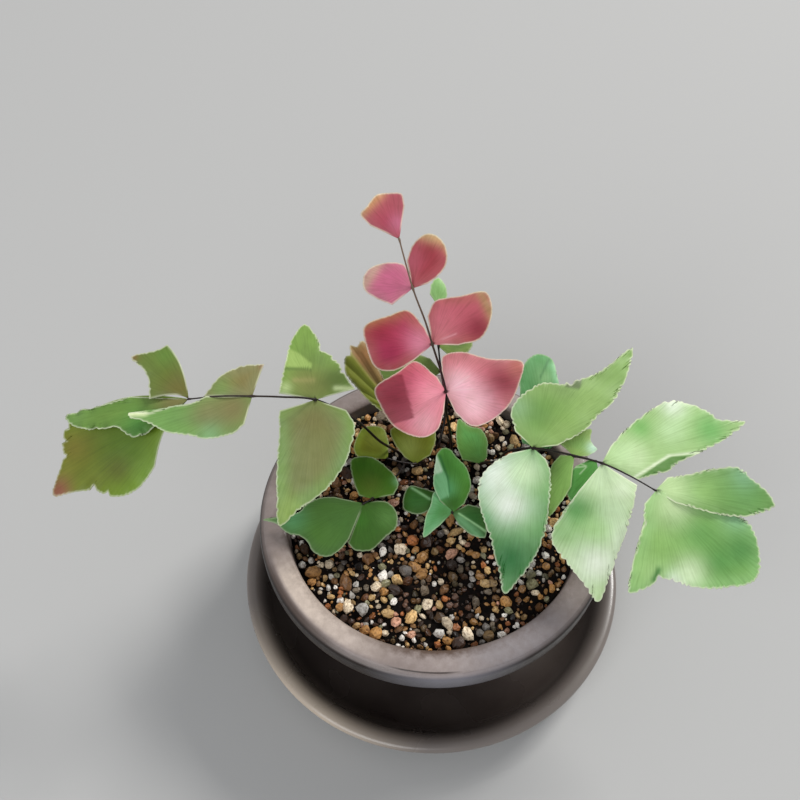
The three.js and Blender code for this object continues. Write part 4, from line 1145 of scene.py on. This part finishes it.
def stalk_route(frond):
    """The frond's route with its straight start in the soil and a short tip past its last leaflet."""
    x, y, _ = frond["route"][0]
    before, last = np.array(frond["route"][-2:], float)
    tip = last + TIP_LENGTH * (last - before) / np.linalg.norm(last - before)
    return [(x, y, STALK_BOTTOM), (x, y, SOIL_EDGE), *frond["route"], tip]


def carried_circle(line, radius):
    """A tube round a line: line + radius (side cos a + up sin a), square to the line's own direction."""
    direction = headings(line)
    side = np.cross([0, 1, 0], direction)
    side /= np.linalg.norm(side, axis=1, keepdims=True)
    up = np.cross(direction, side)
    angle = around(TUBE_SIDES)
    ring = side[:, None] * np.cos(angle)[:, None] + up[:, None] * np.sin(angle)[:, None]
    return line[:, None] + ring * radius[:, None, None]


def stalk_material():
    """Brownish black horn with a fine grain, and tan where it is young."""
    shader = Shader("black_stalk")
    height = coordinates(shader)[1]
    grain = shader.noise(900, 3, 0.5, (1, 1, 0.3))
    horn = shader.ramp(grain, [(0.3, "120c0a"), (0.6, "1f1512"), (0.85, "3a2620")])
    shader.put("Base Color", shader.mix(shader.span_mm(height, YOUNG_FROM, YOUNG_TO, 0, 0.8), horn, "86705f"))
    shader.put("Roughness", 0.4)
    shader.put("Specular IOR Level", 0.3)
    shader.bump(grain, 0.05 * MM)
    return shader.material


def make_stalk(frond, material):
    """A tube along the frond's route, with a knob at each leaflet's foot and a point at both ends."""
    line, length = through_at(stalk_route(frond), STALK_SPACING)
    radius = STALK_RADIUS + (STALK_TIP_RADIUS - STALK_RADIUS) * length / length[-1]
    feet = np.array([frond["route"][leaflet["at"]] for leaflet in frond["leaflets"]])
    away = np.linalg.norm(line[:, None] - feet[None], axis=-1).min(axis=1)
    radius = radius + KNOB_HEIGHT * np.exp(-(away / KNOB_LENGTH) ** 2)
    radius[[0, -1]] = STALK_POINT_RADIUS
    rings = carried_circle(line, radius).reshape(-1, 3)
    name = frond["name"]
    piece(name + "_stem", rings, tube_faces(len(line), TUBE_SIDES), material, [name + "_stalk"])


black_stalk = stalk_material()
for frond in FRONDS:
    make_stalk(frond, black_stalk)

# %% [markdown]
# ## Leaflets
# A maidenhair leaflet is a thin fan with no midrib. Fine veins spread from its foot and fork again and
# again until they reach the toothed margin. A flat cut-out with an outline would be simpler, but couldn't
# droop, fold and wave. So the blade is a grid: its columns run from the foot to the margin, as the veins
# do, and its rows lie closer together near the margin, where the pale edge is. The upper face and the
# under face are the same grid, one above the other, so the blade is as thin as card and still closed.

# %% Outline of a leaflet
COLUMN_SPACING = 0.4
FEWEST_COLUMNS = 40
CUT_FADE = 2.5


def in_plane(angle, distance):
    """A point of the leaflet's plane from an angle off its aim and a distance from its foot."""
    return np.array([distance * math.cos(math.radians(angle)), distance * math.sin(math.radians(angle))])


def off_segment(x, y, start, end):
    """Distance from the straight piece between two points: to its line beside it, to its ends beyond them."""
    run = end - start
    along = np.clip(((x - start[0]) * run[0] + (y - start[1]) * run[1]) / max(run @ run, 1e-9), 0, 1)
    return np.hypot(x - start[0] - along * run[0], y - start[1] - along * run[1])


def left_of(x, y, start, end):
    """Distance to the left of the way from a start to an end, and less than 0 on its right."""
    run = (end - start) / np.linalg.norm(end - start)
    return run[0] * (y - start[1]) - run[1] * (x - start[0])


def outline(leaflet, teeth, random):
    """The margin in the leaflet's own plane: a smooth line through its rim, and cuts that part its teeth.

    A point moves inwards, square to the line, by depth (1 - |sin(pi s / pitch)|). Slow waves lengthen and
    shorten the teeth and change their depth, which is 0 at both ends of the margin. A notch is a deeper V
    at its own angle, with a depth in mm and a half width in degrees. Returns the line, the move of each of
    its points, their lengths along it, and how near each of them is to a cut, from 0 to 1.
    """
    rim = np.array([in_plane(angle, distance) for angle, distance in leaflet["rim"]])
    line, length = through_at(rim, COLUMN_SPACING, FEWEST_COLUMNS)
    direction = headings(line)
    inwards = np.column_stack([-direction[:, 1], direction[:, 0]])
    depth, pitch = teeth
    shift = random.uniform(0, 2 * np.pi, 2)
    count = length / pitch + 0.5 * sine(length, 9.3, shift[0]) + 0.25 * sine(length, 4.7, shift[1])
    fade = ease(0, CUT_FADE, length) * ease(0, CUT_FADE, length[-1] - length)
    nearness = (1 - np.abs(np.sin(np.pi * count))) * fade
    cut = depth * nearness * (0.7 + 0.3 * sine(length, 13, shift[1]))
    angle = np.degrees(np.arctan2(line[:, 1], line[:, 0]))
    for where, deep, wide in leaflet.get("notches", []):
        cut = cut + deep * np.clip(1 - np.abs(angle - where) / wide, 0, 1)
    return line, inwards * cut[:, None], length, nearness


print("columns", COLUMN_SPACING, "mm apart on the margin")

# %% Relief of a leaflet
RUFFLE = 0.3
RUFFLE_WAVES = 7
SWELL = 0.24
SWELL_FROM = 9
SWELL_TO = 24
FRILL = 0.13
FRILL_PITCH = 4.6
FRILL_WIDTH = 2.6
CREASE_ROUND = 0.5
PLEATS = 14


def relief(leaflet, x, y, margin, margin_length, random):
    """Height of the blade over its plane, in mm.

    The far edge bends down by droop (r / reach)^2, and a ruffle (r / reach)^3 sin(7 angle) waves it. Broad
    swells lift and lower it by up to half a millimetre, and a frill sin(2 pi s / pitch), which comes and
    goes along the margin, waves the last millimetres before it. Past a crease, to the left of the way from
    its start to its end, the blade bends down by slope (d + sqrt(d^2 + w^2)) / 2, where d is the distance
    from the crease and w how round it is. Pleats fold it like a fan.
    """
    radius, angle = np.hypot(x, y), np.arctan2(y, x)
    share = radius / max(distance for _, distance in leaflet["rim"])
    height = -leaflet["droop"] * share ** 2 + RUFFLE * share ** 3 * np.sin(RUFFLE_WAVES * angle)
    swell = ripple(x, y, int(random.integers(1000)), 7, SWELL_FROM, SWELL_TO)
    height = height + SWELL * swell * ease(0, 9, radius)
    frill = leaflet.get("frill", 1) * FRILL * (1 - ease(0, FRILL_WIDTH, margin)) * ease(3, 9, radius)
    comes_and_goes = 0.5 + 0.5 * sine(margin_length, 3.7 * FRILL_PITCH, random.uniform(0, 6))
    height = height + frill * comes_and_goes * sine(margin_length, FRILL_PITCH, random.uniform(0, 6))
    for first, near, second, far, slope in leaflet.get("creases", []):
        past = left_of(x, y, in_plane(first, near), in_plane(second, far))
        height = height - slope * 0.5 * (past + np.sqrt(past ** 2 + CREASE_ROUND ** 2))
    return height + leaflet.get("pleats", 0) * share * np.abs(np.sin(PLEATS * angle))


print("swells of", SWELL, "mm, frill of", FRILL, "mm")

# %% Colour of a leaflet
EDGE_WIDTH = 0.5
EDGE_PALE = "f3f6dc"
EDGE_COVER = 0.65
PATCH_BLUR = 0.3
TICK_SHADE_AND_BROWN = "55603c"
FOOT_BROWN = "2a1c14"


def lay(colour, code, strength):
    """Lays a colour over another: old + (new - old) strength."""
    return colour + (linear(code) - colour) * strength[..., None]


def paint(leaflet, x, y, margin, nearness, edge, ticks):
    """The blade's colour: its heart, spots, bands, patches, pale edge, ticks and dark foot laid on in turn.

    A spot fades as exp(-(d / size)^2) from its middle, and a band as the same of the distance from a straight
    piece. A patch covers what lies to the left of all its sides. The heart comes up from 0.3 to 1.6 of its
    inset from the margin, and the ticks lie in the cuts between the teeth.
    """
    colour = np.broadcast_to(linear(leaflet["blade"]), (*x.shape, 3))
    inset = leaflet["inset"]
    colour = lay(colour, leaflet["heart"], ease(0.3 * inset, 1.6 * inset, margin))
    for angle, distance, size, code, strength in leaflet.get("spots", []):
        middle = in_plane(angle, distance)
        colour = lay(colour, code, strength * np.exp(-(off_segment(x, y, middle, middle) / size) ** 2))
    for first, near, second, far, size, code, strength in leaflet.get("bands", []):
        away = off_segment(x, y, in_plane(first, near), in_plane(second, far))
        colour = lay(colour, code, strength * np.exp(-(away / size) ** 2))
    for rim, code, strength in leaflet.get("patches", []):
        corners = [in_plane(angle, distance) for angle, distance in rim]
        sides = [left_of(x, y, start, end) for start, end in zip(corners, corners[1:] + corners[:1])]
        colour = lay(colour, code, strength * ease(-PATCH_BLUR, PATCH_BLUR, np.array(sides)).prod(axis=0))
    radius = np.hypot(x, y)
    # The pale edge is partly the margin's own paler colour and partly painted light shining through the thin
    # margin.
    edge = edge * (1 - ease(0.3 * EDGE_WIDTH, EDGE_WIDTH, margin)) * ease(1.5, 4, radius)
    colour = lay(colour, EDGE_PALE, EDGE_COVER * edge)
    # The ticks are partly brown and partly painted shade in the cuts between the teeth.
    ticks = ticks * (1 - ease(0.05, 0.4, margin)) * ease(5, 9, radius) * nearness ** 3
    colour = lay(colour, TICK_SHADE_AND_BROWN, ticks)
    return lay(colour, FOOT_BROWN, 0.9 * (1 - ease(0.2, 0.7, radius)))


print("pale edge", EDGE_WIDTH, "mm wide")

# %% Directions of a leaflet
def leaflet_axes(leaflet):
    """Unit vectors along the leaflet, to its left and out of its upper face, from aim, pitch and roll."""
    aim, pitch, roll = (math.radians(leaflet[key]) for key in ("aim", "pitch", "roll"))
    along = np.array([math.cos(aim) * math.cos(pitch), math.sin(aim) * math.cos(pitch), math.sin(pitch)])
    level = np.array([-math.sin(aim), math.cos(aim), 0])
    left = level * math.cos(roll) + np.cross(along, level) * math.sin(roll)
    return along, left, np.cross(along, left)


print("a level leaflet's upper face points to", leaflet_axes({"aim": 0, "pitch": 0, "roll": 0})[2])

# %% Blade
BLADE_THICKNESS = 0.4
MARGIN_THICKNESS_SHARE = 0.4
ROW_COUNT = 32
ROW_CROWDING = 1.45
FOOT_SHARE = 0.015
VEIN_SPACING = 0.75
TEETH_FROM = 0.8
UNDERSIDE_PALENESS = 0.3
UNDERSIDE_TINT = np.array([1.25, 1.35, 1.225])


def shell_faces(rows, columns):
    """Faces of two equal grids, the second under the first, with a wall between their borders."""
    under = rows * columns
    upper = grid_faces(rows, columns)
    first_row, last_row = np.arange(columns), under - columns
    border = np.concatenate([first_row, np.arange(1, rows) * columns + columns - 1,
                             last_row + first_row[-2::-1], np.arange(rows - 2, 0, -1) * columns])
    onwards = np.roll(border, -1)
    walls = np.column_stack([onwards, border, border + under, onwards + under])
    return np.vstack([upper, upper[:, ::-1] + under, walls])[:, ::-1]


def blade(leaflet, frond, random):
    """One closed leaflet: its points, faces, colours and vein coordinates.

    A grid point lies at share times a margin point, and the shares crowd towards 1. A bend moves it aside by
    4 bend share (1 - share). Its distance from the margin is the smallest to any margin point or to any
    point of the two straight sides.
    """
    smooth, cuts, length, nearness = outline(leaflet, frond["teeth"], random)
    rows = FOOT_SHARE + (1 - FOOT_SHARE) * (1 - (1 - np.linspace(0, 1, ROW_COUNT)) ** ROW_CROWDING)
    spread = rows[:, None, None] * smooth + ease(TEETH_FROM, 1, rows)[:, None, None] * cuts
    x, y = spread[..., 0], spread[..., 1] + leaflet.get("bend", 0) * 4 * (rows * (1 - rows))[:, None]
    away = np.hypot(x[..., None] - spread[-1, :, 0], y[..., None] - spread[-1, :, 1])
    nearest = away.argmin(-1)
    side_x, side_y = x[:, [0, -1]].ravel(), y[:, [0, -1]].ravel()
    margin = np.minimum(away.min(-1), np.hypot(x[..., None] - side_x, y[..., None] - side_y).min(-1))

    height = relief(leaflet, x, y, margin, length[nearest], random)
    thickness = MARGIN_THICKNESS_SHARE + (1 - MARGIN_THICKNESS_SHARE) * ease(0, 1.2, margin)
    half = 0.5 * BLADE_THICKNESS * thickness[..., None]
    along, left, up = leaflet_axes(leaflet)
    foot = np.array(frond["route"][leaflet["at"]])
    middle = foot + x[..., None] * along + y[..., None] * left + height[..., None] * up
    points = np.stack([middle + half * up, middle - half * up]).reshape(-1, 3)

    above = paint(leaflet, x, y, margin, nearness[nearest], frond["edge"], frond.get("ticks", 0))
    grey = above.mean(-1, keepdims=True) * UNDERSIDE_TINT
    beneath = above + (grey - above) * UNDERSIDE_PALENESS
    colours = np.stack([above, beneath]).reshape(-1, 3)
    reach = max(distance for _, distance in leaflet["rim"])
    veins = np.stack([np.arctan2(y, x) * reach / VEIN_SPACING, np.hypot(x, y) / reach], axis=-1)
    return points, shell_faces(*x.shape), colours, np.stack([veins, veins]).reshape(-1, 2)


def make_blades(frond, material, seed):
    """All leaflets of a frond as one piece."""
    random = np.random.default_rng(seed)
    points, faces, colours, veins = zip(*(blade(leaflet, frond, random) for leaflet in frond["leaflets"]))
    starts = np.cumsum([0] + [len(some) for some in points[:-1]])
    faces = np.vstack([some + start for some, start in zip(faces, starts)])
    name = frond["name"]
    piece(name + "_blades", np.vstack(points), faces, material, [name + "_leaflets"],
          np.vstack(colours), np.vstack(veins))


print("blades", BLADE_THICKNESS, "mm thick, on", ROW_COUNT, "rows")

# %% [markdown]
# The blade's finish adds the veins. The vein coordinates hold, for each point, its place along the margin
# counted in veins, and its share of the way from the foot to the margin. Every time that share doubles,
# each vein forks: within a cell, the two branches part from its middle and end a quarter of its width
# to either side. The distance to the nearest branch then gives a fine line, which stands out by a few
# thousandths of a millimetre, and the flesh between the veins is a little darker. Darker streaks run from
# the foot to the margin as well, by a noise that the same coordinates stretch along the veins.

# %% Leaf finish
def branch_distance(shader, across, share):
    """Distance from the nearest branch, as a share of the cell that the vein has between two forks."""
    sway = shader.times(shader.minus(shader.noise(200, 2), 0.5), 1.6)
    doublings = shader.times(shader.math("LOGARITHM", share, 2.0), -1.0)
    level = shader.math("FLOOR", doublings)
    parting = shader.minus(1.0, shader.minus(doublings, level))
    cell = shader.power(2.0, shader.plus(level, 1.0))
    inside = shader.math("FRACT", shader.math("DIVIDE", shader.plus(across, sway), cell))
    return shader.apart(shader.apart(inside, 0.5), shader.times(parting, 0.25))


def streaks(shader, across, share):
    """Noise that runs from the foot to the margin, and changes slowly from place to place."""
    fan = shader.node("ShaderNodeCombineXYZ")
    shader.feed(fan.inputs["X"], shader.times(across, 0.9))
    shader.feed(fan.inputs["Y"], shader.times(share, 1.8))
    shader.feed(fan.inputs["Z"], shader.times(shader.noise(25, 1), 12.0))
    made = shader.node("ShaderNodeTexNoise")
    made.inputs["Scale"].default_value = 1.4
    made.inputs["Detail"].default_value = 3
    shader.feed(made.inputs["Vector"], fan.outputs["Vector"])
    return made.outputs["Fac"]


def leaf_material(name, roughness, gloss):
    """The leaflet's own colour, with veins, flesh, clouds and streaks laid over it."""
    shader = Shader(name)
    across, share, _ = shader.split(shader.node("ShaderNodeUVMap", uv_map="veins").outputs["UV"])
    vein = shader.span(branch_distance(shader, across, share), 0.02, 0.12, 1, 0)
    between = shader.times(shader.minus(1.0, vein), 0.06)
    flesh = shader.noise(330, 4, 0.6)
    cloud = shader.noise(70, 3, 0.5)
    streak = streaks(shader, across, share)
    colour = shader.mix(shader.span(flesh, 0.42, 0.72, 0, 0.16), shader.tint(), "b7bf9a", "MULTIPLY")
    colour = shader.mix(shader.span(cloud, 0.35, 0.65, 0, 0.16), colour, "ccd4a8", "MULTIPLY")
    colour = shader.mix(between, colour, "7c8472", "MULTIPLY")
    colour = shader.mix(shader.span(streak, 0.45, 0.75, 0, 0.26), colour, "8d9a68", "MULTIPLY")
    shader.put("Base Color", colour)
    shader.put("Roughness", shader.span(flesh, 0.3, 0.7, roughness - 0.05, roughness + 0.07))
    shader.put("Specular IOR Level", gloss)
    shader.bump(shader.plus(shader.times(vein, 0.25), flesh), 0.015 * MM)
    return shader.material


leaf_finish = {
    "green_leaf": leaf_material("fresh_green_leaf", 0.45, 0.3),
    "blue_green_leaf": leaf_material("blue_green_leaf", 0.55, 0.2),
    "olive_leaf": leaf_material("olive_leaf", 0.5, 0.15),
    "pink_leaf": leaf_material("pink_leaf", 0.45, 0.25),
}
for seed, frond in enumerate(FRONDS):
    make_blades(frond, leaf_finish[frond["slot"]], seed)
